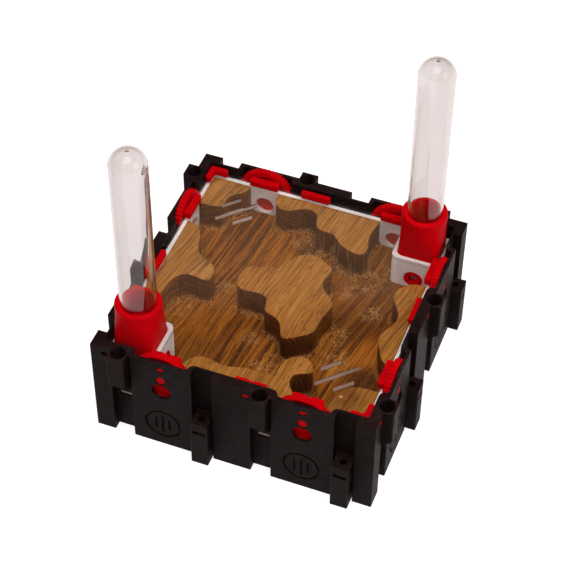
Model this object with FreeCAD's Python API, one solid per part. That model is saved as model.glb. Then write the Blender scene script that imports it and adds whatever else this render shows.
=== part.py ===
import FreeCAD
import Part
import math
import os

# Ant habitat: a square black shell with a white liner, a carved wooden nest block under a clear cover,
# gate wheels at the wall ports, clips that hold the cover, and two test-tube towers.
# Frame: origin at the centre of the footprint on the ground, +X to the right along the front wall,
# +Y to the back, +Z up. All lengths are millimetres.
#
# Every wall is described once, as the front wall, and turned about Z for the other three.
# On a wall, u runs from its left end seen from outside, d is the depth inwards from the outer plane.

# ---- overall module -------------------------------------------------------------------------------
unit_pitch = 64.0            # one wall unit: post, screw slot, panel, screw slot, post
units_per_wall = 2
wall_names = ["front", "right", "back", "left"]
shell_height = 53.0
wall_thickness = 4.8
shell_floor = 2.0

# ---- wall unit ------------------------------------------------------------------------------------
slot_width = 9.2             # upright slots that take the knuckles of a neighbouring module
slot_depth = 4.0
upper_slot_u = 13.3          # centre of the slot with the upper knuckle
lower_slot_u = 50.7          # centre of the slot with the lower knuckle
slot_bridge = 1.6            # web that closes the upper slot at the top edge
slit_width = 5.5             # drain slit through the skin behind the upper knuckle
slit_height = 2.4
slit_drop = 3.9              # below the root of the upper knuckle

# ---- knuckles that screw neighbouring modules together --------------------------------------------
knuckle_width = 8.0
link_gap = 0.6               # between the outer planes of two linked modules
upper_knuckle_height = 17.6  # at its front face, above the sloping underside
lower_knuckle_height = 26.0
knuckle_edge_radius = 0.8
screw_head_diameter = 6.8
screw_seat_depth = 15.0
screw_pass_diameter = 3.4
screw_hole_diameter = 3.2
screw_hole_depth = 14.0
nut_width = 6.0
nut_thickness = 1.8
nut_drop = 4.7               # top of the lower knuckle to the top of the nut slit
nut_reach = 3.0              # past the screw axis

# ---- nest -----------------------------------------------------------------------------------------
liner_gap = 0.2              # between shell and liner, all round
liner_wall = 1.8
liner_floor = 2.0
liner_corner_radius = 1.0
liner_top = 45.0             # the cover lies on this rim
nest_gap = 0.2               # between liner and nest block
carving_depth = 15.0         # channels and chambers below the plateaus

# ---- cover ----------------------------------------------------------------------------------------
cover_thickness = 3.0
cover_gap = 0.2
vent_centre = 38.2           # of the vents, from the centre of the cover along X and Y
vent_pitch = 6.3
vent_width = 0.6
long_vent = 21.5
short_vent = 9.6

# ---- ports and gate wheels ------------------------------------------------------------------------
port_diameter = 8.8
port_sill = 0.6              # height of the port's edge over the nest floor
gate_offset = 7.0            # from the wheel's axis to the port's axis
gate_radius = 13.1
gate_thickness = 3.0
gate_side_gap = 0.2
gate_rim_gap = 0.3
gate_teeth = 40
groove_depth = 0.6
groove_share = 0.45          # of a tooth's pitch taken by its groove
gate_recess_depth = 1.0      # on the side of the nest
gate_recess_outer = 10.0
gate_face_depth = 0.9        # of the recess on the side of the panel
gate_face_outer = 12.0
gate_boss_radius = 3.2       # left standing in both recesses
pocket_half_width = 11.9     # of the pocket's open top
pocket_corner_radius = 3.0
hub_diameter = 4.3
hub_gap = 0.2                # radial
hub_inset = 0.3              # of the pin's end below the outer plane

# ---- clips ----------------------------------------------------------------------------------------
slide_gap = 0.15             # between a clip and what it slides on
clip_length = 14.0
clip_width = 2.6
clip_height = 3.1
clip_end_radius = 1.0
clip_inner_radius = 0.5      # in the crook of a corner clip
thumb_notch_width = 2.0
thumb_notch_depth = 0.6
tab_width = 2.9
tab_height = 1.7
tab_gap = 0.25
tab_inset = 0.1              # of the tab's end below the outer plane
window_u = 6.8               # clip windows in the posts, left of each upper knuckle
gate_clip_width = 3.3
tongue_width = 6.0
tongue_thickness = 0.8
tongue_length = 3.6
tongue_gap = 0.1
corner_leg = 8.5

# ---- towers ---------------------------------------------------------------------------------------
cup_side = 22.4
cup_corner_radius = 3.0
socket_side = 18.6
socket_gap = 0.2
socket_seat = 7.0            # depth of the socket in the cup, from the rim
cup_ledge = 1.1              # width of the ledge that the socket stands on
socket_corner_radius = 3.2
socket_top_diameter = 20.5
socket_rise = 21.5           # above the cup's rim
socket_collar = 4.5          # straight round part under the lip
socket_lip_radius = 0.8
tube_diameter = 16.0
tube_wall = 1.0
tube_gap = 0.15              # radial, in the socket
tube_seat = 14.5             # depth of the tube in the socket
tube_length = 100.0
tube_stop = 1.5              # width of the stop that the tube's mouth stands on
gate_mark_diameter = 1.6
gate_mark_height = 0.3
cup_port_diameter = 9.0
plug_gap = 0.05              # radial
plug_hole_diameter = 4.4

over = 1.0                   # how far a cutter runs past the face that it opens

# ---- worked out -----------------------------------------------------------------------------------
side = units_per_wall * unit_pitch
half = side / 2
shell_inner = half - wall_thickness
knuckle_reach = slot_depth + link_gap
link_axis = -link_gap / 2
liner_outer = shell_inner - liner_gap
liner_inner = liner_outer - liner_wall
nest_half = liner_inner - nest_gap
liner_base = shell_floor
nest_base = liner_base + liner_floor
nest_floor = liner_top - carving_depth
cover_top = liner_top + cover_thickness
cover_half = shell_inner - cover_gap
port_z = nest_floor + port_sill + port_diameter / 2
gate_z = port_z + gate_offset
gate_u = unit_pitch / 2
panel_skin = wall_thickness - gate_thickness - gate_side_gap
clip_base = cover_top + slide_gap
tab_z = clip_base + tab_height / 2
cup_centre = liner_outer - cup_side / 2
cup_edge = liner_outer - cup_side
cup_cavity = socket_side / 2 + socket_gap
cup_well = cup_cavity - cup_ledge
cup_rim = cup_side / 2 - cup_cavity
socket_base = cover_top - socket_seat
socket_top = cover_top + socket_rise
tube_base = socket_top - tube_seat
tower_signs = [("front_left", -1), ("back_right", 1)]

# Plateaus left standing in the nest block, as drawn on a block of half width 57: the free edge of
# each, from wall to wall. The corner points that close it lie outside the block.
drawn_half = 57.0
wall_plateaus = [
    # back left corner
    ([(-39.2, 59), (-39.0, 55), (-41.0, 51.4), (-44.6, 48.4), (-46.1, 44), (-46.4, 40.4), (-51, 38.7),
      (-59, 38.4)], [(-59, 59)]),
    # along the back wall
    ([(-25.4, 59), (-24.9, 54.5), (-22.4, 49.4), (-18.6, 48), (-12.5, 51), (-7.2, 52.6), (-3.6, 50.6),
      (-1.6, 44.6), (1.5, 41.9), (7.4, 41.5), (12, 37.3), (18, 34.2), (23.6, 34), (25.1, 37.6),
      (23.7, 44.5), (23.8, 51), (25.2, 59)], []),
    # along the right wall
    ([(59, 25.3), (52.5, 25.2), (48.2, 22.4), (45.2, 15.6), (47.6, 10.6), (50.8, 5), (50.4, -1.5),
      (48.2, -6.4), (47.4, -11), (49.4, -16.5), (53.4, -23), (59, -25.2)], []),
    # front right corner
    ([(59, -39.6), (50, -39.8), (43.6, -42.2), (41, -48), (39.6, -53), (39, -59)], [(59, -59)]),
    # along the front wall
    ([(25, -59), (23.4, -52.6), (20.6, -48.8), (20.8, -43.4), (27, -39.3), (25.2, -34.6), (20.6, -32.6),
      (15.6, -35.4), (13.6, -39.4), (12.6, -44.8), (7, -47), (1, -47), (-7.4, -49), (-14, -48.3),
      (-21.4, -48.6), (-25, -53), (-25.4, -59)], []),
    # along the left wall
    ([(-59, -25.3), (-54, -25), (-50.8, -19.6), (-49.6, -11.6), (-45.6, -6.2), (-39.6, -5.8),
      (-34.6, -5.6), (-33.8, 0.2), (-37.4, 4.8), (-44.4, 8.8), (-47, 14.6), (-49.2, 21), (-53, 25),
      (-59, 25.2)], []),
]
island = [(-1, 23.8), (3.6, 25.7), (10, 23.6), (15, 19.5), (13.5, 13), (16.4, 6.8), (21.9, 0.6),
          (20.4, -8.5), (19.9, -16.8), (14, -23), (8.4, -25.4), (5.6, -20.4), (0.6, -15.4),
          (-4.3, -13.2), (-6, -7), (-12, -4.9), (-19.8, -4.7), (-22.4, 1.4), (-20.2, 8.6), (-12, 11.6),
          (-6, 16.4)]


def vec(x, y, z=0.0):
    return FreeCAD.Vector(x, y, z)


def block(x_range, y_range, z_range):
    size = [high - low for low, high in (x_range, y_range, z_range)]
    return Part.makeBox(size[0], size[1], size[2], vec(x_range[0], y_range[0], z_range[0]))


def wall_block(u_range, d_range, z_range):
    """A box on the front wall."""
    return block([u - half for u in u_range], [d - half for d in d_range], z_range)


def wall_bore(u, z, radius, d_range):
    """A round bore or pin across the front wall."""
    length = d_range[1] - d_range[0]
    return Part.makeCylinder(radius, length, vec(u - half, d_range[0] - half, z), vec(0, 1, 0))


def upright(x, y, radius, z_range):
    return Part.makeCylinder(radius, z_range[1] - z_range[0], vec(x, y, z_range[0]))


def turned(shape, wall):
    """The same shape on another wall."""
    copy = shape.copy()
    copy.rotate(vec(0, 0), vec(0, 0, 1), 90 * wall)
    return copy


def round_wire(points, radii):
    """A closed polygon in the XY plane with each corner rounded by its own radius."""
    edges = []
    count = len(points)
    arcs = []
    for index in range(count):
        corner = points[index]
        before = (points[index - 1] - corner).normalize()
        after = (points[(index + 1) % count] - corner).normalize()
        angle = before.getAngle(after)
        reach = radii[index] / math.tan(angle / 2)
        start = corner + before * reach
        end = corner + after * reach
        bisector = (before + after).normalize()
        middle = corner + bisector * (radii[index] / math.sin(angle / 2) - radii[index])
        arcs.append((start, middle, end))
    for index in range(count):
        start, middle, end = arcs[index]
        if (start - end).Length > 1e-6:
            edges.append(Part.Arc(start, middle, end).toShape())
        following = arcs[(index + 1) % count][0]
        if (end - following).Length > 1e-6:
            edges.append(Part.LineSegment(end, following).toShape())
    return Part.Wire(edges)


def rounded_square(centre_x, centre_y, half_side, radius, z):
    corners = [(1, 1), (-1, 1), (-1, -1), (1, -1)]
    points = [vec(centre_x + half_side * a, centre_y + half_side * b, z) for a, b in corners]
    return round_wire(points, [radius] * 4)


def prism(wire, height):
    return Part.Face(wire).extrude(vec(0, 0, height))


def square_prism(half_side, radius, z_range, centre=(0.0, 0.0)):
    wire = rounded_square(centre[0], centre[1], half_side, radius, z_range[0])
    return prism(wire, z_range[1] - z_range[0])


def cup_corners(edge, radius, z_range):
    """The two tower corners of the nest, each a square from edge outwards past the shell."""
    centre = (edge + side) / 2
    return [square_prism(centre - edge, radius, z_range, (sign * centre, sign * centre))
            for name, sign in tower_signs]


def unit_starts():
    return [index * unit_pitch for index in range(units_per_wall)]


def on_every_unit(make):
    """make(u) on every unit of every wall."""
    return [turned(make(u), wall) for wall in range(len(wall_names)) for u in unit_starts()]


# ---- shell ----------------------------------------------------------------------------------------
def upper_knuckle(u):
    """Block with a sloping underside at the top of the upper slot."""
    root = knuckle_reach + slot_depth
    foot = shell_height - upper_knuckle_height
    profile = [(slot_depth, shell_height), (-knuckle_reach, shell_height), (-knuckle_reach, foot),
               (slot_depth, foot - root)]
    left = u + upper_slot_u - knuckle_width / 2
    points = [vec(left - half, d - half, z) for d, z in profile]
    solid = Part.Face(Part.makePolygon(points + points[:1])).extrude(vec(knuckle_width, 0, 0))
    return rounded_front(solid)


def lower_knuckle(u):
    left = u + lower_slot_u - knuckle_width / 2
    solid = wall_block((left, left + knuckle_width), (-knuckle_reach, slot_depth), (0, lower_knuckle_height))
    return rounded_front(solid)


def rounded_front(knuckle):
    """A knuckle with its two upright front edges rounded."""
    front = [edge for edge in knuckle.Edges
             if all(abs(v.Y + half + knuckle_reach) < 1e-6 for v in edge.Vertexes)
             and abs(edge.Vertexes[0].X - edge.Vertexes[-1].X) < 1e-6]
    return knuckle.makeFillet(knuckle_edge_radius, front)


def slots(u):
    cuts = []
    for centre, top in ((upper_slot_u, shell_height - slot_bridge), (lower_slot_u, shell_height + over)):
        left = u + centre - slot_width / 2
        cuts.append(wall_block((left, left + slot_width), (-over, slot_depth), (-over, top)))
    return Part.makeCompound(cuts)


def screw_holes(u):
    y = link_axis - half
    upper = u + upper_slot_u - half
    lower = u + lower_slot_u - half
    seat = shell_height - screw_seat_depth
    root_foot = shell_height - upper_knuckle_height - knuckle_reach - slot_depth
    nut_top = lower_knuckle_height - nut_drop
    head = upright(upper, y, screw_head_diameter / 2, (seat, shell_height + over))
    shank = upright(upper, y, screw_pass_diameter / 2, (root_foot, seat + over))
    thread = upright(lower, y, screw_hole_diameter / 2,
                     (lower_knuckle_height - screw_hole_depth, lower_knuckle_height + over))
    left = u + lower_slot_u - nut_width / 2
    nut = wall_block((left, left + nut_width), (-knuckle_reach - over, link_axis + nut_reach),
                     (nut_top - nut_thickness, nut_top))
    return Part.makeCompound([head.fuse(shank), thread.fuse(nut)])


def gate_pocket(u):
    """Round pocket for the wheel, open at the top, with rounded mouth corners, and its three holes."""
    centre = u + gate_u
    deep = (panel_skin, wall_thickness + over)
    pocket = wall_bore(centre, gate_z, gate_radius + gate_rim_gap, deep)
    mouth = wall_block((centre - pocket_half_width, centre + pocket_half_width), deep,
                       (gate_z, shell_height + over))
    pocket = pocket.fuse(mouth)
    for sign in (-1, 1):
        pocket = pocket.fuse(mouth_corner(centre, sign))
    port = wall_bore(centre, port_z, port_diameter / 2, (-over, panel_skin + over))
    hub = wall_bore(centre, gate_z, hub_diameter / 2 + hub_gap, (-over, panel_skin + over))
    window = clip_window(centre, panel_skin + over)
    return Part.makeCompound([pocket.fuse([port, hub, window])])


def mouth_corner(centre, sign):
    """What is taken off the wall to round the mouth's upright corner."""
    radius = pocket_corner_radius
    edge = centre + sign * pocket_half_width
    tip = edge + sign * radius
    z_range = (cover_top, shell_height + over)
    corner = wall_block(sorted((edge, tip)), (wall_thickness - radius, wall_thickness + over), z_range)
    kept = upright(tip - half, wall_thickness - radius - half, radius, z_range)
    return corner.cut(kept)


def clip_window(u, depth):
    width = tab_width + 2 * tab_gap
    height = tab_height + 2 * tab_gap
    return wall_block((u - width / 2, u + width / 2), (-over, depth), (tab_z - height / 2, tab_z + height / 2))


def post_openings(u):
    """The clip window in the post and the drain slit behind the upper knuckle."""
    root_foot = shell_height - upper_knuckle_height - knuckle_reach - slot_depth
    left = u + upper_slot_u - slit_width / 2
    slit_top = root_foot - slit_drop
    slit = wall_block((left, left + slit_width), (slot_depth - over, wall_thickness + over),
                      (slit_top - slit_height, slit_top))
    return Part.makeCompound([clip_window(u + window_u, wall_thickness + over), slit])


def shell():
    body = block((-half, half), (-half, half), (0, shell_height))
    body = body.cut(block((-shell_inner, shell_inner), (-shell_inner, shell_inner),
                          (shell_floor, shell_height + over)))
    body = body.cut(on_every_unit(slots))
    body = body.fuse(on_every_unit(upper_knuckle) + on_every_unit(lower_knuckle))
    body = body.cut(on_every_unit(screw_holes))
    body = body.cut(on_every_unit(gate_pocket))
    body = body.cut(on_every_unit(post_openings))
    return body.removeSplitter()


def shell_pieces():
    """The shell as its floor plate and one piece for each wall unit, which meet face to face."""
    body = shell()
    plate = block((-shell_inner, shell_inner), (-shell_inner, shell_inner), (0, shell_floor))
    pieces = {"shell_floor": body.common(plate)}
    depth = (-knuckle_reach - over, wall_thickness)
    for wall, name in enumerate(wall_names):
        for number, u in enumerate(unit_starts(), start=1):
            start = max(u, wall_thickness)
            unit = wall_block((start, u + unit_pitch), depth, (-over, shell_height + over))
            piece = body.common(turned(unit, wall))
            pieces["shell_%s_%d" % (name, number)] = piece.removeSplitter()
    return pieces


# ---- liner with the cups --------------------------------------------------------------------------
def liner_port(u):
    """The port and the groove for the gate clip's tongue."""
    centre = u + gate_u
    outer = half - liner_outer
    port = wall_bore(centre, port_z, port_diameter / 2, (outer - over, outer + liner_wall + over))
    reach = tongue_width / 2 + tongue_gap
    groove = wall_block((centre - reach, centre + reach), (outer - over, outer + tongue_thickness + tongue_gap),
                        (liner_top - tongue_length - tongue_gap, liner_top + over))
    return Part.makeCompound([port, groove])


def cup_port(sign, along, radius, depth_range):
    """A round bore through one nest-side wall of a cup, measured from the wall's outer face."""
    start = sign * (cup_edge + depth_range[0])
    length = depth_range[1] - depth_range[0]
    centre = sign * cup_centre
    if along == "x":
        return Part.makeCylinder(radius, length, vec(start, centre, port_z), vec(sign, 0, 0))
    return Part.makeCylinder(radius, length, vec(centre, start, port_z), vec(0, sign, 0))


def cup_wall():
    return cup_side / 2 - cup_well


def liner():
    """Tray with two cups, whose nest-side walls stand up to the top of the cover."""
    tray = square_prism(liner_outer, liner_corner_radius, (liner_base, liner_top))
    hollow = square_prism(liner_inner, liner_corner_radius + nest_gap, (nest_base, liner_top + over))
    hollow = hollow.cut(cup_corners(cup_edge, cup_corner_radius, (liner_base, liner_top + over)))
    tray = tray.cut(hollow)
    body = tray
    for name, sign in tower_signs:
        centre = (sign * cup_centre, sign * cup_centre)
        cup = square_prism(cup_side / 2, cup_corner_radius, (nest_base, cover_top), centre)
        body = body.fuse(cup)
        well = square_prism(cup_well, socket_corner_radius - cup_ledge, (nest_base, cover_top), centre)
        seat = square_prism(cup_cavity, socket_corner_radius, (socket_base, cover_top + over), centre)
        body = body.cut([well, seat])
        ports = [cup_port(sign, along, cup_port_diameter / 2, (-over, cup_wall() + over)) for along in "xy"]
        body = body.cut(ports)
    low_sides = cup_corners(cup_edge + cup_rim, socket_corner_radius, (liner_top, cover_top + over))
    body = body.cut(low_sides + on_every_unit(liner_port))
    return body.removeSplitter()


def liner_pieces():
    """The liner as its floor, its four walls and the two cups, which meet face to face."""
    body = liner()
    reach = (-liner_outer, liner_outer)
    pieces = {"liner_floor": body.common(block(reach, reach, (liner_base, nest_base)))}
    z_range = (nest_base, cover_top + over)
    for name, sign in tower_signs:
        side_range = sorted((sign * cup_edge, sign * half))
        pieces["cup_" + name] = body.common(block(side_range, side_range, z_range)).removeSplitter()
    long_wall = block((-cup_edge, liner_outer), (-liner_outer, -liner_inner), z_range)
    inner_corner = liner_inner - liner_corner_radius - nest_gap
    short_wall = block((inner_corner, liner_outer), (-liner_inner, cup_edge), z_range)
    for wall, name in enumerate(wall_names):
        region = turned((long_wall, short_wall)[wall % 2], 2 * (wall // 2))
        pieces["liner_" + name] = body.common(region).removeSplitter()
    return pieces


def cup_plug(sign, along):
    """Ring that narrows a cup's port."""
    ring = cup_port(sign, along, cup_port_diameter / 2 - plug_gap, (0, cup_wall()))
    return ring.cut(cup_port(sign, along, plug_hole_diameter / 2, (-over, cup_wall() + over)))


# ---- nest block -----------------------------------------------------------------------------------
def drawn(point):
    scale = nest_half / drawn_half
    return vec(point[0] * scale, point[1] * scale, nest_floor)


def plateau(free_edge, outer_corners):
    """A plateau that ends at the nest's walls."""
    curve = Part.BSplineCurve()
    curve.interpolate([drawn(point) for point in free_edge])
    ends = [drawn(point) for point in [free_edge[-1]] + outer_corners + [free_edge[0]]]
    lines = [Part.LineSegment(a, b).toShape() for a, b in zip(ends, ends[1:])]
    return prism(Part.Wire([curve.toShape()] + lines), carving_depth)


def nest_block():
    outline = square_prism(nest_half, liner_corner_radius, (nest_base, liner_top))
    outline = outline.cut(cup_corners(cup_edge - nest_gap, cup_corner_radius + nest_gap,
                                      (nest_base - over, liner_top + over)))
    base = outline.common(block((-half, half), (-half, half), (nest_base, nest_floor)))
    ring = Part.BSplineCurve()
    ring.interpolate([drawn(point) for point in island], PeriodicFlag=True)
    tops = [prism(Part.Wire([ring.toShape()]), carving_depth)]
    tops += [plateau(edge, corners).common(outline) for edge, corners in wall_plateaus]
    return base.fuse(tops).removeSplitter()


# ---- cover ----------------------------------------------------------------------------------------
def vent(offset, length, sign):
    """A thin slit through the cover, along the diagonal of the corner that has no tower."""
    straight = length - vent_width
    z_range = (liner_top - over, cover_top + over)
    slit = block((-straight / 2, straight / 2), (offset - vent_width / 2, offset + vent_width / 2), z_range)
    ends = [upright(end * straight / 2, offset, vent_width / 2, z_range) for end in (-1, 1)]
    slit = slit.fuse(ends)
    slit.rotate(vec(0, 0), vec(0, 0, 1), 45)
    slit.translate(vec(sign * vent_centre, -sign * vent_centre))
    return slit


def tongue_notch(u):
    centre = u + gate_u
    reach = tongue_width / 2 + tongue_gap
    edge = half - liner_outer
    return wall_block((centre - reach, centre + reach), (0, edge + tongue_thickness + tongue_gap),
                      (liner_top - over, cover_top + over))


def cover():
    pane = square_prism(cover_half, liner_corner_radius, (liner_top, cover_top))
    pane = pane.cut(cup_corners(cup_edge - cover_gap, cup_corner_radius + cover_gap,
                                (liner_top - over, cover_top + over)))
    vents = [vent(offset, length, sign) for sign in (-1, 1)
             for offset, length in ((0, long_vent), (-vent_pitch, short_vent), (vent_pitch, short_vent))]
    return pane.cut(vents).cut(on_every_unit(tongue_notch))


# ---- gate wheels ----------------------------------------------------------------------------------
def gate_wheel(u):
    """Knurled wheel, recessed on both sides, with a passage hole beside its hub, turned off the port."""
    centre = u + gate_u - half
    back = wall_thickness - half
    step = 2 * math.pi / gate_teeth
    points = []
    for tooth in range(gate_teeth):
        for share, radius in ((0, gate_radius), (1 - groove_share, gate_radius),
                              (1 - groove_share / 2, gate_radius - groove_depth)):
            angle = (tooth + share) * step
            points.append(vec(centre + radius * math.cos(angle), back, gate_z + radius * math.sin(angle)))
    wheel = Part.Face(Part.makePolygon(points + points[:1])).extrude(vec(0, -gate_thickness, 0))
    face = wall_thickness - gate_thickness
    recesses = [wall_bore(u + gate_u, gate_z, radius, depths) for radius, depths in (
        (gate_recess_outer, (wall_thickness - gate_recess_depth, wall_thickness + over)),
        (gate_face_outer, (face - over, face + gate_face_depth)))]
    boss = wall_bore(u + gate_u, gate_z, gate_boss_radius, (0, wall_thickness + 2 * over))
    passage = wall_bore(u + gate_u + gate_offset, gate_z, port_diameter / 2, (0, wall_thickness + over))
    hub = wall_bore(u + gate_u, gate_z, hub_diameter / 2, (hub_inset, face + over / 2))
    return wheel.cut([recess.cut(boss) for recess in recesses] + [passage]).fuse(hub).removeSplitter()


# ---- clips ----------------------------------------------------------------------------------------
def clip_bar(u, length, width):
    """Bar with rounded ends on the cover, its back along the shell, with a thumb notch on top."""
    back = half - shell_inner + slide_gap
    wire_z = clip_base
    x, y = u - half, back - half
    corners = [vec(x - length / 2, y, wire_z), vec(x + length / 2, y, wire_z),
               vec(x + length / 2, y + width, wire_z), vec(x - length / 2, y + width, wire_z)]
    bar = prism(round_wire(corners, [clip_end_radius] * 4), clip_height)
    notch = wall_block((u - thumb_notch_width / 2, u + thumb_notch_width / 2),
                       (back + width / 2, back + width + over),
                       (clip_base + clip_height - thumb_notch_depth, clip_base + clip_height + over))
    return bar.cut(notch)


def clip_tab(u):
    """Tab that goes through the window of a post."""
    back = half - shell_inner + slide_gap
    return wall_block((u - tab_width / 2, u + tab_width / 2), (tab_inset, back + clip_end_radius),
                      (tab_z - tab_height / 2, tab_z + tab_height / 2))


def cover_clip():
    """Straight clip at the middle post of the front wall."""
    u = unit_pitch + window_u
    return clip_bar(u, clip_length, clip_width).fuse(clip_tab(u)).removeSplitter()


def gate_clip(u):
    """Bar in front of a wheel, with a tongue that plugs into the liner's groove."""
    centre = u + gate_u
    outer = half - liner_outer
    tongue = wall_block((centre - tongue_width / 2, centre + tongue_width / 2),
                        (outer, outer + tongue_thickness), (liner_top - tongue_length, clip_base))
    bar = clip_bar(centre, clip_length, gate_clip_width)
    root = wall_block((centre - tongue_width / 2, centre + tongue_width / 2),
                      (half - shell_inner + slide_gap, outer + tongue_thickness),
                      (clip_base, clip_base + tab_height))
    return bar.fuse([tongue, root]).removeSplitter()


def corner_clip():
    """L-shaped clip in the front right corner, with its tab through the right wall's window."""
    inner = shell_inner - slide_gap
    low = inner - corner_leg
    x_leg = [(low, -inner), (inner, -inner), (inner, -low), (inner - clip_width, -low),
             (inner - clip_width, -inner + clip_width), (low, -inner + clip_width)]
    radii = [clip_end_radius] * 4 + [clip_inner_radius, clip_end_radius]
    wire = round_wire([vec(x, y, clip_base) for x, y in x_leg], radii)
    return prism(wire, clip_height).fuse(turned(clip_tab(window_u), 1)).removeSplitter()


# ---- towers ---------------------------------------------------------------------------------------
def ring_wire(centre, radius, z, corner_angle):
    """A circle in eight arcs that match the sides and corners of a rounded square."""
    stops = []
    for quarter in range(4):
        middle = math.radians(45 + 90 * quarter)
        stops += [middle - corner_angle, middle + corner_angle]
    stops.append(stops[0] + 2 * math.pi)
    edges = []
    for start, end in zip(stops, stops[1:]):
        angles = (start, (start + end) / 2, end)
        edges.append(Part.Arc(*[vec(centre + radius * math.cos(a), centre + radius * math.sin(a), z)
                                for a in angles]).toShape())
    return Part.Wire(edges)


def square_wire(centre, half_side, radius, z):
    """A rounded square that starts at the same corner arc as ring_wire."""
    flat = half_side - radius
    edges = []
    for quarter in range(4):
        turn = math.radians(90 * quarter)

        def spot(x, y):
            return vec(centre + x * math.cos(turn) - y * math.sin(turn),
                       centre + x * math.sin(turn) + y * math.cos(turn), z)

        bend = flat + radius * math.sqrt(0.5)
        edges.append(Part.Arc(spot(half_side, flat), spot(bend, bend), spot(flat, half_side)).toShape())
        edges.append(Part.LineSegment(spot(flat, half_side), spot(-flat, half_side)).toShape())
    return Part.Wire(edges)


def tower_socket(sign):
    """Square foot in the cup, lofted to a round collar that holds the tube."""
    centre = sign * cup_centre
    foot_half = socket_side / 2
    corner_angle = math.atan2(foot_half, foot_half - socket_corner_radius) - math.pi / 4
    collar_base = socket_top - socket_collar
    radius = socket_top_diameter / 2
    foot = prism(square_wire(centre, foot_half, socket_corner_radius, socket_base), socket_seat)
    loft = Part.makeLoft([square_wire(centre, foot_half, socket_corner_radius, cover_top),
                          ring_wire(centre, radius, collar_base, corner_angle)], True, True)
    collar = upright(centre, centre, radius, (collar_base, socket_top))
    rim = [edge for edge in collar.Edges if abs(edge.CenterOfMass.z - socket_top) < 1e-6]
    collar = collar.makeFillet(socket_lip_radius, rim)
    body = foot.fuse([loft, collar])
    bore = upright(centre, centre, tube_diameter / 2 + tube_gap, (tube_base, socket_top + over))
    passage = upright(centre, centre, tube_diameter / 2 - tube_stop, (socket_base - over, tube_base + over))
    return body.cut(bore.fuse(passage)).removeSplitter()


def test_tube(sign):
    """Round-bottomed tube standing on its mouth, with the moulding's gate mark on the dome."""
    radius = tube_diameter / 2
    inner = radius - tube_wall
    mouth = tube_base
    dome = mouth + tube_length - gate_mark_height - radius
    slant = math.sqrt(0.5)
    profile = [
        Part.LineSegment(vec(inner, 0, mouth), vec(radius, 0, mouth)),
        Part.LineSegment(vec(radius, 0, mouth), vec(radius, 0, dome)),
        Part.Arc(vec(radius, 0, dome), vec(radius * slant, 0, dome + radius * slant), vec(0, 0, dome + radius)),
        Part.LineSegment(vec(0, 0, dome + radius), vec(0, 0, dome + inner)),
        Part.Arc(vec(0, 0, dome + inner), vec(inner * slant, 0, dome + inner * slant), vec(inner, 0, dome)),
        Part.LineSegment(vec(inner, 0, dome), vec(inner, 0, mouth)),
    ]
    wire = Part.Wire([curve.toShape() for curve in profile])
    glass = Part.Face(wire).revolve(vec(0, 0), vec(0, 0, 1), 360)
    mark = upright(0, 0, gate_mark_diameter / 2, (dome + radius - tube_wall / 2, mouth + tube_length))
    tube = glass.fuse(mark)
    tube.translate(vec(sign * cup_centre, sign * cup_centre))
    return tube


# ---- assembly -------------------------------------------------------------------------------------
def parts():
    named = {"nest_block": nest_block(), "cover": cover()}
    named.update(shell_pieces())
    named.update(liner_pieces())
    clip = cover_clip()
    for wall, name in enumerate(wall_names):
        named["cover_clip_" + name] = turned(clip, wall)
        for number, u in enumerate(unit_starts(), start=1):
            named["gate_wheel_%s_%d" % (name, number)] = turned(gate_wheel(u), wall)
            named["gate_clip_%s_%d" % (name, number)] = turned(gate_clip(u), wall)
    corner = corner_clip()
    named["corner_clip_front_right"] = corner
    named["corner_clip_back_left"] = turned(corner, 2)
    for name, sign in tower_signs:
        named["tower_socket_" + name] = tower_socket(sign)
        named["test_tube_" + name] = test_tube(sign)
        named["cup_plug_x_" + name] = cup_plug(sign, "x")
        named["cup_plug_y_" + name] = cup_plug(sign, "y")
    return named


os.makedirs("parts", exist_ok=True)
for node, shape in parts().items():
    shape.exportStep("parts/%s.step" % node)
    print("%-28s solids %d  volume %9.1f  valid %s" % (node, len(shape.Solids), shape.Volume, shape.isValid()))
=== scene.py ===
"""Ant habitat: the looks of the packed model, piece by piece, in metres."""

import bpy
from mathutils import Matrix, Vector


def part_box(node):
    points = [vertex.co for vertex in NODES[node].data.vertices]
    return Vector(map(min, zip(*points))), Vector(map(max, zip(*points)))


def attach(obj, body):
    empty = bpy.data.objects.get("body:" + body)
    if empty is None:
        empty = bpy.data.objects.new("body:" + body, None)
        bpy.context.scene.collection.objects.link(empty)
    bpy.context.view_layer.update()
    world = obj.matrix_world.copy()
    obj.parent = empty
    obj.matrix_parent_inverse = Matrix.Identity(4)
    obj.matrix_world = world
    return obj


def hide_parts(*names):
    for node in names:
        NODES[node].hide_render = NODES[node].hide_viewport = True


bl_info = {
    "name": "Ant habitat",
    "version": (1, 0, 0),
    "blender": (4, 5, 0),
    "location": "View3D > Sidebar > Ant habitat",
    "description": "Dresses the ant habitat: printed shell, carved nest, clear cover, gate wheels and towers",
    "category": "Object",
}

import math

import bmesh
import bpy
import numpy as np
from mathutils import Matrix, Vector

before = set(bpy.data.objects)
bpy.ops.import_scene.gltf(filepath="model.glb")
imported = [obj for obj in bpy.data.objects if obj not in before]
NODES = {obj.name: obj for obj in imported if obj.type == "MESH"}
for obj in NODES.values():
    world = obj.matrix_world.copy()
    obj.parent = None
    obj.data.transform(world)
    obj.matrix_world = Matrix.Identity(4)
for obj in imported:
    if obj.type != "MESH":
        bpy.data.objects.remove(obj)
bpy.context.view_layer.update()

MM = 0.001
WALLS = ("front", "right", "back", "left")
TOWERS = {"front_left": -1, "back_right": 1}
WHITE = (1.0, 1.0, 1.0)

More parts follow.
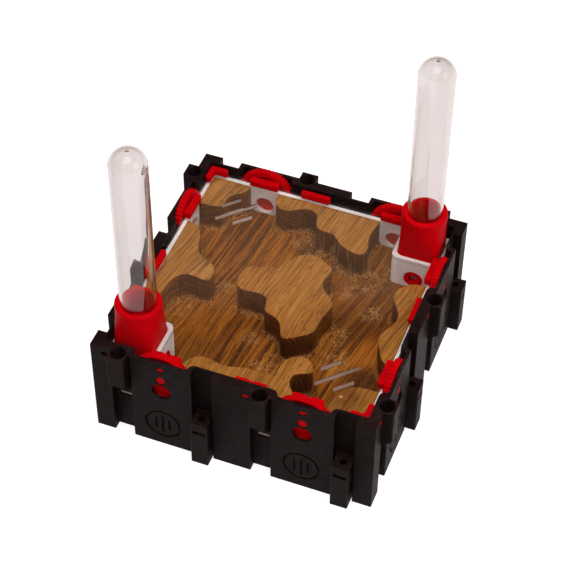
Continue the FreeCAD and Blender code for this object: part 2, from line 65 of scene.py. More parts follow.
# ---- places read from the frame ---------------------------------------------------------------------
NEST_LOW, NEST_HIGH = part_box("nest_block")
COVER_LOW, COVER_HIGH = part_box("cover")
WHEEL_LOW, WHEEL_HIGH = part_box("gate_wheel_front_1")
SOCKET_LOW, SOCKET_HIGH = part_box("tower_socket_back_right")
TUBE_LOW, TUBE_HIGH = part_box("test_tube_back_right")

HALF = 64.0 * MM                                    # outer plane of the shell's walls
UNIT = HALF                                         # width of one wall unit
NEST_HALF = NEST_HIGH.x
NEST_FLOOR = 30.0 * MM
GATE_AXIS = (WHEEL_LOW.z + WHEEL_HIGH.z) / 2
TOWER_CENTRE = (SOCKET_LOW.x + SOCKET_HIGH.x) / 2

# The wood's plateaus in millimetres, drawn on a block of half width 57. Each has its free edge from wall to
# wall, and then the corners that close it outside the block. The island's edge is closed on itself.
DRAWN_HALF = 57.0
WALL_PLATEAUS = [
    ([(-39.2, 59), (-39.0, 55), (-41.0, 51.4), (-44.6, 48.4), (-46.1, 44), (-46.4, 40.4), (-51, 38.7),
      (-59, 38.4)], [(-66, 38.4), (-66, 66), (-39.2, 66)]),
    ([(-25.4, 59), (-24.9, 54.5), (-22.4, 49.4), (-18.6, 48), (-12.5, 51), (-7.2, 52.6), (-3.6, 50.6),
      (-1.6, 44.6), (1.5, 41.9), (7.4, 41.5), (12, 37.3), (18, 34.2), (23.6, 34), (25.1, 37.6),
      (23.7, 44.5), (23.8, 51), (25.2, 59)], [(25.2, 66), (-25.4, 66)]),
    ([(59, 25.3), (52.5, 25.2), (48.2, 22.4), (45.2, 15.6), (47.6, 10.6), (50.8, 5), (50.4, -1.5),
      (48.2, -6.4), (47.4, -11), (49.4, -16.5), (53.4, -23), (59, -25.2)], [(66, -25.2), (66, 25.3)]),
    ([(59, -39.6), (50, -39.8), (43.6, -42.2), (41, -48), (39.6, -53), (39, -59)],
     [(39, -66), (66, -66), (66, -39.6)]),
    ([(25, -59), (23.4, -52.6), (20.6, -48.8), (20.8, -43.4), (27, -39.3), (25.2, -34.6), (20.6, -32.6),
      (15.6, -35.4), (13.6, -39.4), (12.6, -44.8), (7, -47), (1, -47), (-7.4, -49), (-14, -48.3),
      (-21.4, -48.6), (-25, -53), (-25.4, -59)], [(-25.4, -66), (25, -66)]),
    ([(-59, -25.3), (-54, -25), (-50.8, -19.6), (-49.6, -11.6), (-45.6, -6.2), (-39.6, -5.8),
      (-34.6, -5.6), (-33.8, 0.2), (-37.4, 4.8), (-44.4, 8.8), (-47, 14.6), (-49.2, 21), (-53, 25),
      (-59, 25.2)], [(-66, 25.2), (-66, -25.3)]),
]
ISLAND = [(-1, 23.8), (3.6, 25.7), (10, 23.6), (15, 19.5), (13.5, 13), (16.4, 6.8), (21.9, 0.6),
          (20.4, -8.5), (19.9, -16.8), (14, -23), (8.4, -25.4), (5.6, -20.4), (0.6, -15.4),
          (-4.3, -13.2), (-6, -7), (-12, -4.9), (-19.8, -4.7), (-22.4, 1.4), (-20.2, 8.6), (-12, 11.6),
          (-6, 16.4)]

# Places in the wood, as centre and radius in millimetres. The knot and the eye also have a stretch.
TEAR_OUT = [((15, 37, 30), 9), ((28, 33, 30), 13), ((21, 24, 30), 9), ((37, 42, 30), 9),
            ((-8, 45, 30), 8), ((-1, 36, 30), 9), ((27, -4, 30), 9), ((30, -18, 30), 11),
            ((18, -31, 30), 10), ((3, -31, 30), 11), ((-9, -19, 30), 8), ((-44, -13, 30), 7),
            ((-30, 6, 30), 6), ((36, 14, 30), 8)]
# Spots made darker near the floor: partly dark wood, and partly painted shade, as in the concave corner of
# the back plateau at (-5, 50).
DARK_WOOD_AND_SHADE = [((-5, 50, 36), 10), ((-4, 41, 30), 10), ((46, -24, 29), 12), ((12, 40, 37), 11),
             ((21, 35, 37), 9), ((24, -44, 35), 11), ((10, -25, 37), 12), ((18, -20, 37), 8),
             ((-5, -14, 35), 7)]
# Spots where the floor is made darker.
DARKER_FLOOR = [((31, 8, 30), 24), ((28, 30, 30), 20), ((-26, -34, 30), 16)]
PALE_WOOD = [((-46, 4, 45), 24), ((10, 55, 45), 30), ((-50, 50, 45), 14)]
ORANGE_WOOD = [((-24, 30, 30), 26), ((6, 29, 30), 12), ((-30, 2, 30), 12)]
RIBBED_WALL = [((13, 38, 37), 20)]
KNOT = ((43.5, -10, 30), 17, (1.9, 1.0, 0.8))
EYE = ((43.1, -47.5, 45), 13, (0.9, 1.0, 0.7))


# ---- settings ---------------------------------------------------------------------------------------
def length(name, text, value):
    return bpy.props.FloatProperty(name=name, description=text, default=value, subtype="DISTANCE",
                                   unit="LENGTH", precision=5)


def number(name, text, value):
    return bpy.props.FloatProperty(name=name, description=text, default=value, precision=3)


def angle(name, text, degrees):
    return bpy.props.FloatProperty(name=name, description=text, default=math.radians(degrees),
                                   subtype="ANGLE", unit="ROTATION")


def colour(name, text, value):
    return bpy.props.FloatVectorProperty(name=name, description=text, default=value, size=3,
                                         subtype="COLOR", min=0.0, max=1.0)


def point(name, text, value):
    return bpy.props.FloatVectorProperty(name=name, description=text, default=value, size=3,
                                         subtype="XYZ", unit="LENGTH", precision=5)


def settings_group(kind, name):
    return bpy.props.PointerProperty(type=kind, name=name, description=kind.__doc__)


class StudioSettings(bpy.types.PropertyGroup):
    """Camera, floor and light"""
    azimuth: angle("Azimuth", "Camera's angle round the module, from the front", 20.43)
    elevation: angle("Elevation", "Camera's angle above the table", 46.612)
    roll: angle("Roll", "Camera's turn about its own axis", 0.609)
    distance: length("Distance", "From the camera to its target", 0.81141)
    target: point("Target", "Point that the camera looks at", (-0.007968, 0.021394, 0.026465))
    lens: number("Lens", "Focal length in millimetres", 112.14)
    key_radiance: number("Key light", "Brightness of the large soft light over the module", 3.45)
    key_place: point("Key light's place", "Centre of the large soft light", (0.06, -0.24, 1.07))
    key_size: length("Key light's size", "Width of the large soft light", 0.8)
    fill_radiance: number("Fill light", "Brightness of the soft light from the right", 2.1)
    fill_place: point("Fill light's place", "Centre of the light from the right", (0.9, -0.15, 0.5))
    fill_size: length("Fill light's size", "Width of the light from the right", 0.7)
    room_light: colour("Room light", "Colour of the even light from all round", (0.36, 0.27, 0.24))
    wall_top: number("Top of the wall", "Sine of the height at which the reflected wall ends", 0.733)
    wall_colour: colour("Wall", "Colour of the room that the clear plastics reflect", (0.37, 0.25, 0.16))
    ceiling_colour: colour("Ceiling", "Colour of the reflected room above its wall", (0.014, 0.010, 0.007))
    floor_colour: colour("Floor", "Colour of the table", (0.55, 0.51, 0.50))
    floor_glow: number("Floor glow", "Light added to the table where it is seen in or through a piece", 0.41)
    floor_white: number("Floor white", "Light added to the table where it is seen directly", 0.80)


class PrintSettings(bpy.types.PropertyGroup):
    """Printed plastics"""
    layer: length("Layer", "Height of one printed layer", 0.0002)
    bead: length("Bead", "Width of one printed line on a top face", 0.00045)
    edge: length("Edge", "Radius of the printed edges", 0.0002)
    black: colour("Black", "Colour of the shell", (0.0085, 0.0044, 0.0044))
    white: colour("White", "Colour of the liner and cups", (0.90, 0.84, 0.82))
    red: colour("Red", "Colour of the clips, wheels and sockets", (0.61, 0.0004, 0.0042))
    figure_depth: length("Figure depth", "Depth of the engraved figure in each panel", 0.0006)


class WoodSettings(bpy.types.PropertyGroup):
    """Carved wood"""
    top_gap: length("Top gap", "Gap between the plateaus and the cover", 0.00006)
    foot_radius: length("Foot radius", "Radius where a wall runs out into the floor", 0.003)
    edge_radius: length("Edge radius", "Radius of the plateaus' top edges", 0.00025)
    mark_pitch: length("Cutter marks", "Distance between the upright cutter marks", 0.0016)
    mark_depth: length("Mark depth", "Depth of the cutter marks", 0.00014)
    ring_pitch: length("Growth rings", "Distance between growth rings", 0.0017)
    heart: point("Heart", "Centre of the growth rings", (-0.047, 0.0, 0.012))
    slope: number("Slope of grain", "Sideways run of the grain for each length along Y", 0.13)
    pale: colour("Pale wood", "Colour of the plateaus", (0.40, 0.165, 0.031))
    golden: colour("Golden wood", "Broad golden patches", (0.30, 0.100, 0.008))
    warm: colour("Warm wood", "Ground colour of the floor", (0.240, 0.061, 0.003))
    dark: colour("Dark wood", "Late growth and stripes", (0.050, 0.014, 0.0035))
    orange: colour("Orange wood", "Warmest part of the floor", (0.44, 0.135, 0.010))
    glint: colour("Bright fibre", "Fine bright fibres of the floor", (0.40, 0.145, 0.012))
    fibre: colour("Torn fibre", "Fine pale fibres", (0.56, 0.30, 0.11))
    end_grain: colour("End grain", "Colour of walls across the grain", (0.064, 0.015, 0.0035))
    end_line: colour("End line", "Colour of the growth rings' lines on those walls", (0.34, 0.155, 0.062))


class ClearSettings(bpy.types.PropertyGroup):
    """Clear plastics"""
    tint: colour("Tint", "Colour of the cover", (0.985, 0.975, 0.975))
    refraction: number("Refraction", "Index of refraction of the cover", 1.49)
    polish: number("Polish", "Roughness of the cover's faces", 0.0)
    edge: length("Edge", "Radius of the cover's edges", 0.0002)
    tube_tint: colour("Tube tint", "Colour of the tubes", (0.975, 0.966, 0.972))
    tube_refraction: number("Tube refraction", "Index of refraction of the tubes", 1.5)
    tube_polish: number("Tube polish", "Roughness of the tubes", 0.02)
    vent_colour: colour("Vent", "Colour of the vents' sawn walls", (0.80, 0.68, 0.64))
    vent_tint: colour("Vent tint", "Colour of what shines through the vents' walls", (0.97, 0.95, 0.94))
    vent_share: number("Vent share", "Share of a vent's wall that isn't see-through", 0.36)
    vent_frost: number("Vent frost", "Roughness of the vents' walls", 0.55)
    rim_colour: colour("Rim", "Colour of the cover's sawn rim", (0.86, 0.82, 0.80))
    rim_tint: colour("Rim tint", "Colour of what shines through the rim", (0.97, 0.96, 0.96))
    rim_share: number("Rim share", "Share of the rim that isn't see-through", 0.04)
    rim_frost: number("Rim frost", "Roughness of the rim", 0.4)


class HabitatSettings(bpy.types.PropertyGroup):
    """Settings of the ant habitat"""
    studio: settings_group(StudioSettings, "Studio")
    print: settings_group(PrintSettings, "Print")
    wood: settings_group(WoodSettings, "Wood")
    clear: settings_group(ClearSettings, "Clear")


# ---- node trees -------------------------------------------------------------------------------------
class Signal:
    """A node's output in a material. Arithmetic with it makes the maths nodes."""

    def __init__(self, socket):
        self.socket = socket
        self.tree = socket.id_data

    def maths(self, operation, *values):
        return out(add(self.tree, "ShaderNodeMath", dict(enumerate(values)), operation=operation))

    def __add__(self, other):
        return self.maths("ADD", self, other)

    def __sub__(self, other):
        return self.maths("SUBTRACT", self, other)

    def __rsub__(self, other):
        return self.maths("SUBTRACT", other, self)

    def __mul__(self, other):
        return self.maths("MULTIPLY", self, other)

    def __pow__(self, other):
        return self.maths("POWER", self, other)

    def __abs__(self):
        return self.maths("ABSOLUTE", self)


def add(tree, kind, inputs=None, **settings):
    """A new node. Each input is a plain value or another node's output."""
    node = tree.nodes.new(kind)
    for name, value in settings.items():
        setattr(node, name, value)
    for name, value in (inputs or {}).items():
        if isinstance(value, Signal):
            tree.links.new(value.socket, node.inputs[name])
        else:
            node.inputs[name].default_value = value
    return node


def out(node, name=0):
    return Signal(node.outputs[name])


def rgba(value):
    return (value[0], value[1], value[2], 1.0)


def blank_material(name):
    """A material with only its output, and the object's own coordinates."""
    material = bpy.data.materials.new(name)
    material.use_nodes = True
    tree = material.node_tree
    tree.nodes.clear()
    tree.nodes.new("ShaderNodeOutputMaterial")
    return material, out(add(tree, "ShaderNodeTexCoord"), "Object")


def show(shader):
    """Links a shader to its material's output."""
    output = next(n for n in shader.tree.nodes if n.type == "OUTPUT_MATERIAL")
    shader.tree.links.new(shader.socket, output.inputs["Surface"])


def vector(operation, first, second=(0.0, 0.0, 0.0)):
    node = add(first.tree, "ShaderNodeVectorMath", {0: first, 1: second}, operation=operation)
    return out(node, "Value" if operation == "LENGTH" else "Vector")


def shaded(colour, factor):
    """A plain colour times a changing number."""
    node = add(factor.tree, "ShaderNodeVectorMath", {0: tuple(colour), "Scale": factor}, operation="SCALE")
    return out(node, "Vector")


def split(place):
    node = add(place.tree, "ShaderNodeSeparateXYZ", {0: place})
    return [out(node, axis) for axis in range(3)]


def surface_direction(tree, kind):
    """The three parts of the surface's normal."""
    return split(out(add(tree, "ShaderNodeNewGeometry"), kind))


def largest(first, *others):
    for other in others:
        first = first.maths("MAXIMUM", first, other)
    return first


def rescale(value, low, high, start=0.0, end=1.0, smooth=False):
    """value from low..high to start..end, held at both ends."""
    inputs = {"Value": value, "From Min": low, "From Max": high, "To Min": start, "To Max": end}
    kind = "SMOOTHSTEP" if smooth else "LINEAR"
    return out(add(value.tree, "ShaderNodeMapRange", inputs, interpolation_type=kind), "Result")


def mottle(place, size, detail=3.0, roughness=0.5, distortion=0.0):
    """Soft random spots of a size in metres; with a size for each axis they are longer one way."""
    if isinstance(size, tuple):
        place = out(add(place.tree, "ShaderNodeMapping", {"Vector": place, "Scale": [1 / s for s in size]}))
        size = 1.0
    inputs = {"Vector": place, "Scale": 1 / size, "Detail": detail, "Roughness": roughness,
              "Distortion": distortion}
    return out(add(place.tree, "ShaderNodeTexNoise", inputs), "Fac")


def between(share, first, second):
    """The number first where share is 0, and second where it is 1."""
    return out(add(share.tree, "ShaderNodeMix", {0: share, 2: first, 3: second}, data_type="FLOAT"))


def blended(share, first, second):
    """The colour first where share is 0, and second where it is 1."""
    inputs = {0: share}
    for socket, value in ((6, first), (7, second)):
        inputs[socket] = value if isinstance(value, Signal) else rgba(value)
    return out(add(share.tree, "ShaderNodeMix", inputs, data_type="RGBA"), 2)


def mixed(share, first, second):
    """The shader first where share is 0, and second where it is 1."""
    return out(add(first.tree, "ShaderNodeMixShader", {0: share, 1: first, 2: second}))


def relief(height, depth, strength=1.0):
    """A normal from a height of 0 to 1 that stands for depth metres."""
    inputs = {"Height": height, "Distance": depth, "Strength": strength}
    return out(add(height.tree, "ShaderNodeBump", inputs), "Normal")


def plastic(tree, **inputs):
    """The main shader. Plain values go straight to its own sockets."""
    names = {"colour": "Base Color", "roughness": "Roughness", "normal": "Normal", "ior": "IOR",
             "transmission": "Transmission Weight", "specular": "Specular IOR Level", "coat": "Coat Weight",
             "coat_roughness": "Coat Roughness", "specular_tint": "Specular Tint"}
    return out(add(tree, "ShaderNodeBsdfPrincipled", {names[key]: value for key, value in inputs.items()}))


def see_through(tree, tint):
    return out(add(tree, "ShaderNodeBsdfTransparent", {"Color": rgba(tint)}))


# ---- materials --------------------------------------------------------------------------------------
def printed(name, base, roughness, depth, painted_top_light, sheen=0.5, streak=0.06, painted_furrow_shade=0.08, painted_edge_highlight=1.0):
    """Plastic laid down in layers: fine level lines on the sides, slanting beads on level faces.

    depth is the height of a line. Level faces are painted lighter by painted_top_light, painted light on the
    tops that makes them darker below 1. Faces slanting off the axes, such as the rounded edges, are painted
    lighter by painted_edge_highlight, a painted highlight. streak is the strength of the uneven layers, and
    painted_furrow_shade the painted shade between two beads."""
    settings = bpy.context.scene.habitat.print
    material, place = blank_material(name)
    x, y, z = split(place)
    facing = [abs(part) for part in surface_direction(place.tree, "True Normal")]
    level = rescale(facing[2], 0.6, 0.9)
    wobble = mottle(place, (0.02, 0.02, 0.0006), detail=2.0)
    height = (z + wobble * (settings.layer / 4)) * (2 * math.pi / settings.layer)
    slant = (x + y) * (2 * math.pi / (settings.bead * math.sqrt(2)))
    beads = slant.maths("SINE", slant)
    lines = between(level, height.maths("SINE", height), beads)
    surface = lines * 0.5 + 0.5 + mottle(place, 0.0004, detail=2.0) * 0.6

    cloud = mottle(place, 0.011, detail=4.0, roughness=0.6)
    bands = mottle(place, (0.02, 0.02, 0.0011), roughness=0.7)
    shade = rescale(cloud, 0.3, 0.7, 0.93, 1.07) + rescale(bands, 0.3, 0.7, -streak, streak)
    # painted shade between the beads of level faces
    shade = shade - rescale(beads, 0.0, -1.0) * level * painted_furrow_shade
    bright_speck = 1.0 + 5 * streak
    # painted light: level faces lighter or darker by the top factor, and a painted highlight on faces
    # slanting off the axes, such as the rounded edges
    painted_light_and_speck_gain = between(level, 1.0, painted_top_light) * rescale(largest(*facing), 0.99, 0.93, 1.0, painted_edge_highlight)
    painted_light_and_speck_gain = painted_light_and_speck_gain * rescale(mottle(place, 0.0011, detail=1.0), 0.66, 0.74, 1.0, bright_speck)
    dull = rescale(mottle(place, 0.004), 0.3, 0.7, roughness - 0.05, roughness + 0.05)
    show(plastic(place.tree, colour=shaded(base, shade * painted_light_and_speck_gain), roughness=dull, specular=sheen,
                 normal=relief(surface, depth)))
    return material


def soft_spot(place, centre, radius, stretch=(1.0, 1.0, 1.0)):
    """1 at a centre, fading to 0 at a radius, both in millimetres, and the distance from the centre.

    stretch below 1 makes the spot longer on that axis."""
    offset = vector("SUBTRACT", place, tuple(MM * value for value in centre))
    reach = vector("LENGTH", vector("MULTIPLY", offset, stretch))
    return rescale(reach, radius * MM / 4, radius * MM, 1.0, 0.0, smooth=True), reach


def spots(place, places):
    """The largest of the soft spots at some places."""
    return largest(*(soft_spot(place, centre, radius)[0] for centre, radius in places))


def threads(noise, width):
    """Thin curling lines: 1 where a noise passes its middle, fading to 0 within a width of it."""
    return rescale(abs(noise - 0.5), 0.0, width, 1.0, 0.0)


def board_axes(place, slope):
    """The board's own axes: turned against the block by the grain's slope, gently bent, and rippled."""
    x, y, z = split(place)
    bend, ripple = 8 * MM, 1 * MM
    side = x - y * slope
    side = side + rescale(mottle(place, (0.05, 0.12, 0.05), detail=1.0), 0.0, 1.0, -bend, bend)
    side = side + rescale(mottle(place, (0.011, 0.026, 0.011), detail=2.0), 0.0, 1.0, -ripple, ripple)
    return out(add(place.tree, "ShaderNodeCombineXYZ", {0: side, 1: y, 2: z}))


def growth_rings(wood, place, board):
    """Late and early wood of rings round the heart, the knot and the eye, and how near the last two are.

    Distance over pitch counts the rings: its fraction runs through each ring, and its whole number draws
    that ring's own strength. Late wood is a thin dark line at a ring's end, early wood a pale one near its
    start."""
    heart = vector("SUBTRACT", board, tuple(wood.heart))
    reach = vector("LENGTH", vector("MULTIPLY", heart, (1.0, 0.0, 1.0)))
    near = []
    for centre, radius, stretch in (KNOT, EYE):
        close, own_reach = soft_spot(place, centre, radius, stretch)
        reach = between(close, reach, own_reach * 0.9)
        near.append(close)
    uneven = mottle(board, (0.010, 0.15, 0.010), detail=2.0)
    turns = reach * (1 / wood.ring_pitch) + rescale(uneven, 0.0, 1.0, -1.1, 1.1)
    run = turns.maths("FRACT", turns)
    ring = turns.maths("FLOOR", turns)
    own = out(add(place.tree, "ShaderNodeTexWhiteNoise", {"W": ring}, noise_dimensions="1D"), "Value")
    patchy = mottle(board, (0.006, 0.014, 0.006), detail=2.0)
    late = run ** 6.0 * rescale(run, 0.94, 1.0, 1.0, 0.0)
    late = late * rescale(own, 0.35, 0.85, 0.1, 1.0) * rescale(patchy, 0.38, 0.55, 0.25, 1.0)
    early = rescale(abs(run - 0.3), 0.0, 0.13, 1.0, 0.0)
    early = early * rescale(own, 0.75, 0.35, 0.10, 1.0) * rescale(patchy, 0.38, 0.55, 0.5, 1.0)
    return late, early, near


def torn_fibres(place, z, level):
    """Pale fibres where the cutter turned, and in a band along every foot, only near the floor."""
    curls = mottle(place, (0.0024, 0.0032, 0.0024), detail=2.0, roughness=0.6, distortion=1.0)
    grains = mottle(place, (0.0007, 0.0010, 0.0007), detail=1.0, distortion=0.8)
    torn = largest(threads(curls, 0.042), rescale(grains, 0.56, 0.66, 0.0, 0.7))
    ragged = rescale(mottle(place, 0.005, detail=2.0), 0.38, 0.60, 0.25, 1.0)
    foot = level * 4.0 * (1.0 - level) * 0.8
    everywhere = 0.10
    here = largest(spots(place, TEAR_OUT) * ragged, foot, everywhere)
    return torn * (here * rescale(z, 0.0345, 0.0325))


def carved_wood(name):
    """Wood sawn almost along Y: growth rings round a heart below the block's left half, long streaks and
    fibres, pale plateaus, a warm floor, dark walls across the grain that show the rings as pale lines, and
    torn fibres at their feet."""
    wood = bpy.context.scene.habitat.wood
    material, place = blank_material(name)
    z = split(place)[2]
    facing = [abs(part) for part in surface_direction(place.tree, "Normal")]
    board = board_axes(place, wood.slope)
    late, early, (near_knot, near_eye) = growth_rings(wood, place, board)

    # streaks, fibres and pores, long along the grain
    streaks = mottle(board, (0.0022, 0.085, 0.0034), detail=4.0, roughness=0.62)
    fibres = mottle(board, (0.0008, 0.024, 0.0008), detail=2.0, roughness=0.6)
    dashes = mottle(board, (0.0006, 0.0040, 0.0006), detail=1.0)
    zone = mottle(board, (0.005, 0.03, 0.005), detail=2.0)
    pores = rescale(dashes, 0.58, 0.66) * rescale(zone, 0.35, 0.55)
    broad = mottle(board, (0.014, 0.07, 0.014), detail=2.0)

    # walls: dark where they cut across the grain, browner where they run along it
    wall = 1.0 - facing[2]
    across = facing[1] * wall
    chatter = mottle(place, (0.0010, 0.0010, 0.03), roughness=0.7)
    cut = blended(rescale(chatter, 0.45, 0.75, 0.0, 0.35), wood.end_grain, wood.warm)
    cut = blended(early * 0.8, cut, wood.end_line)
    ribs = threads(mottle(place, (0.0040, 0.0040, 0.06), detail=1.0), 0.05) * spots(place, RIBBED_WALL)
    swirl = blended(largest(late, rescale(fibres, 0.50, 0.60, 0.0, 0.6)), wood.orange, wood.dark)

    high = rescale(z, 0.0425, 0.0447, smooth=True)
    tone = blended(high, blended(spots(place, ORANGE_WOOD) * 0.6, wood.warm, wood.orange),
                   blended(spots(place, PALE_WOOD) * 0.3, wood.pale, wood.fibre))
    # each coat: where it lies, its strength on the floor and on the plateaus, and its colour
    coats = (
        (rescale(broad, 0.42, 0.60), 0.50, 0.50, wood.golden),
        (rescale(streaks, 0.48, 0.37), 0.55, 0.40, blended(high, wood.glint, wood.pale)),
        (rescale(streaks, 0.51, 0.60), 0.88, 0.36, wood.dark),
        (late, 0.60, 0.95, wood.dark),
        (rescale(fibres, 0.51, 0.59), 0.62, 0.34, wood.dark),
        (rescale(fibres, 0.46, 0.37), 0.62, 0.24, blended(high, wood.glint, wood.fibre)),
        (pores, 0.55, 0.55, wood.dark),
        (near_eye, 0.45, 0.45, wood.dark),
        (soft_spot(place, EYE[0], 1.1)[0], 1.0, 1.0, wood.fibre),
        (facing[0] * wall, 0.45, 0.45, wood.dark),
        (rescale(across, 0.15, 0.75), 0.94, 0.94, cut),
        # the floor darker in spots
        (spots(place, DARKER_FLOOR), 0.45, 0.0, wood.dark),
        (near_knot, 0.80, 0.0, swirl),
        # painted shade and dark wood in spots, on the floor and at the feet of the walls
        (spots(place, DARK_WOOD_AND_SHADE), 0.78, 0.0, wood.dark),
        (ribs * rescale(across, 0.1, 0.5), 0.75, 0.75, wood.end_line),
        (torn_fibres(place, z, facing[2]), 0.90, 0.90, wood.fibre),
    )
    for where, on_floor, on_top, colour_of_coat in coats:
        tone = blended(where * rescale(high, 0.0, 1.0, on_floor, on_top), tone, colour_of_coat)

    show(plastic(place.tree, colour=tone, roughness=rescale(fibres, 0.3, 0.8, 0.42, 0.6), specular=0.1,
                 normal=relief(fibres - pores * 1.4, 0.12 * MM, 0.6)))
    return material


def clear_plastic(name, tint, refraction, polish, coat=0.0, mirror=1.0):
    """Clear plastic that lets the lamps through, so that what lies under it is lit.

    mirror is the strength of its own reflection, and coat adds a second one."""
    material, place = blank_material(name)
    haze = mottle(place, 0.02, detail=2.0)
    rough = rescale(haze, 0.35, 0.7, polish * 0.5, polish * 1.6)
    cloudy = shaded(tint, rescale(haze, 0.3, 0.7, 1.0, 0.985))
    glass = plastic(place.tree, colour=cloudy, roughness=rough, ior=refraction, transmission=1.0, coat=coat,
                    coat_roughness=0.0, specular_tint=rgba((mirror, mirror, mirror)))
    shadow = out(add(place.tree, "ShaderNodeLightPath"), "Is Shadow Ray")
    show(mixed(shadow, glass, see_through(place.tree, tint)))
    return material


def sawn_plastic(name, colour_of_cut, tint, share, roughness, sheen):
    """Saw-cut clear plastic: a share of it is pale and matte, and the rest is see-through."""
    material, place = blank_material(name)
    grain = mottle(place, (0.0004, 0.0004, 0.003))
    rough = rescale(grain, 0.3, 0.7, roughness - 0.1, roughness + 0.1)
    matte = plastic(place.tree, colour=rgba(colour_of_cut), roughness=rough, specular=sheen)
    show(mixed(share, see_through(place.tree, tint), matte))
    return material


# ---- meshes -----------------------------------------------------------------------------------------
def grid_faces(rows, columns, closed_rows=False, closed_columns=False):
    """Quads over a grid of points, numbered row by row."""
    r = np.arange(rows if closed_rows else rows - 1)[:, None]
    c = np.arange(columns if closed_columns else columns - 1)[None, :]
    below, right = (r + 1) % rows, (c + 1) % columns
    corners = (r * columns + c, r * columns + right, below * columns + right, below * columns + c)
    return np.stack([np.broadcast_to(k, (r.size, c.size)) for k in corners], -1).reshape(-1, 4)


def mesh_object(name, points, faces):
    """An object whose place is in its mesh, with doubles merged and faces turned outwards."""
    mesh = bpy.data.meshes.new(name)
    mesh.from_pydata(np.asarray(points, float).reshape(-1, 3).tolist(), [], [list(f) for f in faces])
    piece = bpy.data.objects.new(name, mesh)
    bpy.context.scene.collection.objects.link(piece)
    clean(mesh)
    return piece


def capped_solid(name, rings):
    """A closed solid through rings of equally many points, with a face over the first and the last."""
    levels, count = len(rings), len(rings[0])
    faces = grid_faces(levels, count, closed_columns=True).tolist()
    faces += [list(range(count)), list(range((levels - 1) * count, levels * count))]
    return mesh_object(name, np.concatenate(rings), faces)


def prism(name, outline, low, high):
    """A closed straight-sided solid over an outline."""
    return capped_solid(name, [np.column_stack([outline, np.full(len(outline), z)]) for z in (low, high)])


def arc(centre, radius, start, end, count=5):
    """Points of an arc in a plane: its centre plus the radius times cosine and sine, angles in degrees."""
    turns = np.radians(np.linspace(start, end, count))
    return [(centre[0] + radius * math.cos(a), centre[1] + radius * math.sin(a)) for a in turns]


def clean(mesh):
    """Merges doubles and turns the faces outwards."""
    work = bmesh.new()
    work.from_mesh(mesh)
    bmesh.ops.remove_doubles(work, verts=work.verts, dist=1e-7)
    bmesh.ops.dissolve_degenerate(work, dist=1e-8, edges=work.edges)
    bmesh.ops.recalc_face_normals(work, faces=work.faces)
    work.to_mesh(mesh)
    work.free()


def finish_piece(piece, materials, body):
    """Gives a piece its materials and the body that it rides on."""
    for material in materials:
        piece.data.materials.append(material)
    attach(piece, body)


def apply_modifiers(piece):
    """Puts what the modifiers make into the piece's own mesh."""
    graph = bpy.context.evaluated_depsgraph_get()
    mesh = bpy.data.meshes.new_from_object(piece.evaluated_get(graph))
    old = piece.data
    piece.modifiers.clear()
    piece.data = mesh
    bpy.data.meshes.remove(old)


def smooth(piece, sharp=math.radians(21)):
    """Smooth shading that stops at edges sharper than the angle."""
    piece.data.shade_smooth()
    piece.data.set_sharp_from_angle(angle=sharp)


def settle(piece, tolerance=math.radians(3)):
    """Gives every corner of a face that lies nearly square to an axis that axis as its normal."""
    mesh = piece.data
    corners = np.empty(len(mesh.loops) * 3, np.float32)
    mesh.corner_normals.foreach_get("vector", corners)
    faces = np.empty(len(mesh.polygons) * 3, np.float32)
    mesh.polygons.foreach_get("normal", faces)
    sizes = np.empty(len(mesh.polygons), np.int32)
    mesh.polygons.foreach_get("loop_total", sizes)
    corners, faces = corners.reshape(-1, 3), faces.reshape(-1, 3)
    square = np.abs(faces).max(1) > math.cos(tolerance)
    held = np.repeat(square, sizes)
    corners[held] = np.repeat(np.round(faces), sizes, axis=0)[held]
    mesh.normals_split_custom_set(corners.tolist())


def room_beside(line, face):
    """How far a face reaches away from one of its edges."""
    start, end = (corner.co for corner in line.verts)
    along = (end - start).normalized()
    return max((corner.co - start).cross(along).length for corner in face.verts)


def soften(piece, edge, segments=2, limit=math.radians(40)):
    """Rounds the piece's sharp edges a little, where the faces beside them have room for it."""
    least_room = 2.2 * edge
    work = bmesh.new()
    work.from_mesh(piece.data)
    weight = work.edges.layers.float.new("bevel_weight_edge")
    for line in work.edges:
        sharp = line.is_manifold and line.calc_face_angle() > limit and line.calc_length() > edge
        roomy = sharp and all(room_beside(line, face) > least_room for face in line.link_faces)
        line[weight] = 1.0 if roomy else 0.0
    work.to_mesh(piece.data)
    work.free()
    bevel = piece.modifiers.new("soft edges", "BEVEL")
    bevel.width = edge
    bevel.segments = segments
    bevel.limit_method = "WEIGHT"
    bevel.use_clamp_overlap = False
    apply_modifiers(piece)


def copy_of_node(node, name):
    """A merged copy of a CAD node's mesh."""
    mesh = NODES[node].data.copy()
    mesh.name = name
    mesh.materials.clear()
    piece = bpy.data.objects.new(name, mesh)
    bpy.context.scene.collection.objects.link(piece)
    clean(mesh)
    return piece


def joined_copy(nodes, name):
    """Copies of nodes that meet face to face, as one piece without seams."""
    first, *others = [copy_of_node(node, name) for node in nodes]
    boolean(first, others, "UNION")
    clean(first.data)
    return first


def dressed_copy(node, material, edge, body):
    """A CAD node's shape with softly rounded edges, in place of the node."""
    piece = copy_of_node(node, node + "_print")
    soften(piece, edge)
    smooth(piece)
    settle(piece)
    finish_piece(piece, [material], body)
    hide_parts(node)


def boolean(piece, others, operation):
    """Joins, cuts or crosses the piece with others, which are then removed."""
    for other in others:
        step = piece.modifiers.new(operation, "BOOLEAN")
        step.operation = operation
        step.solver = "EXACT"
        step.object = other
    apply_modifiers(piece)
    for other in others:
        bpy.data.objects.remove(other)


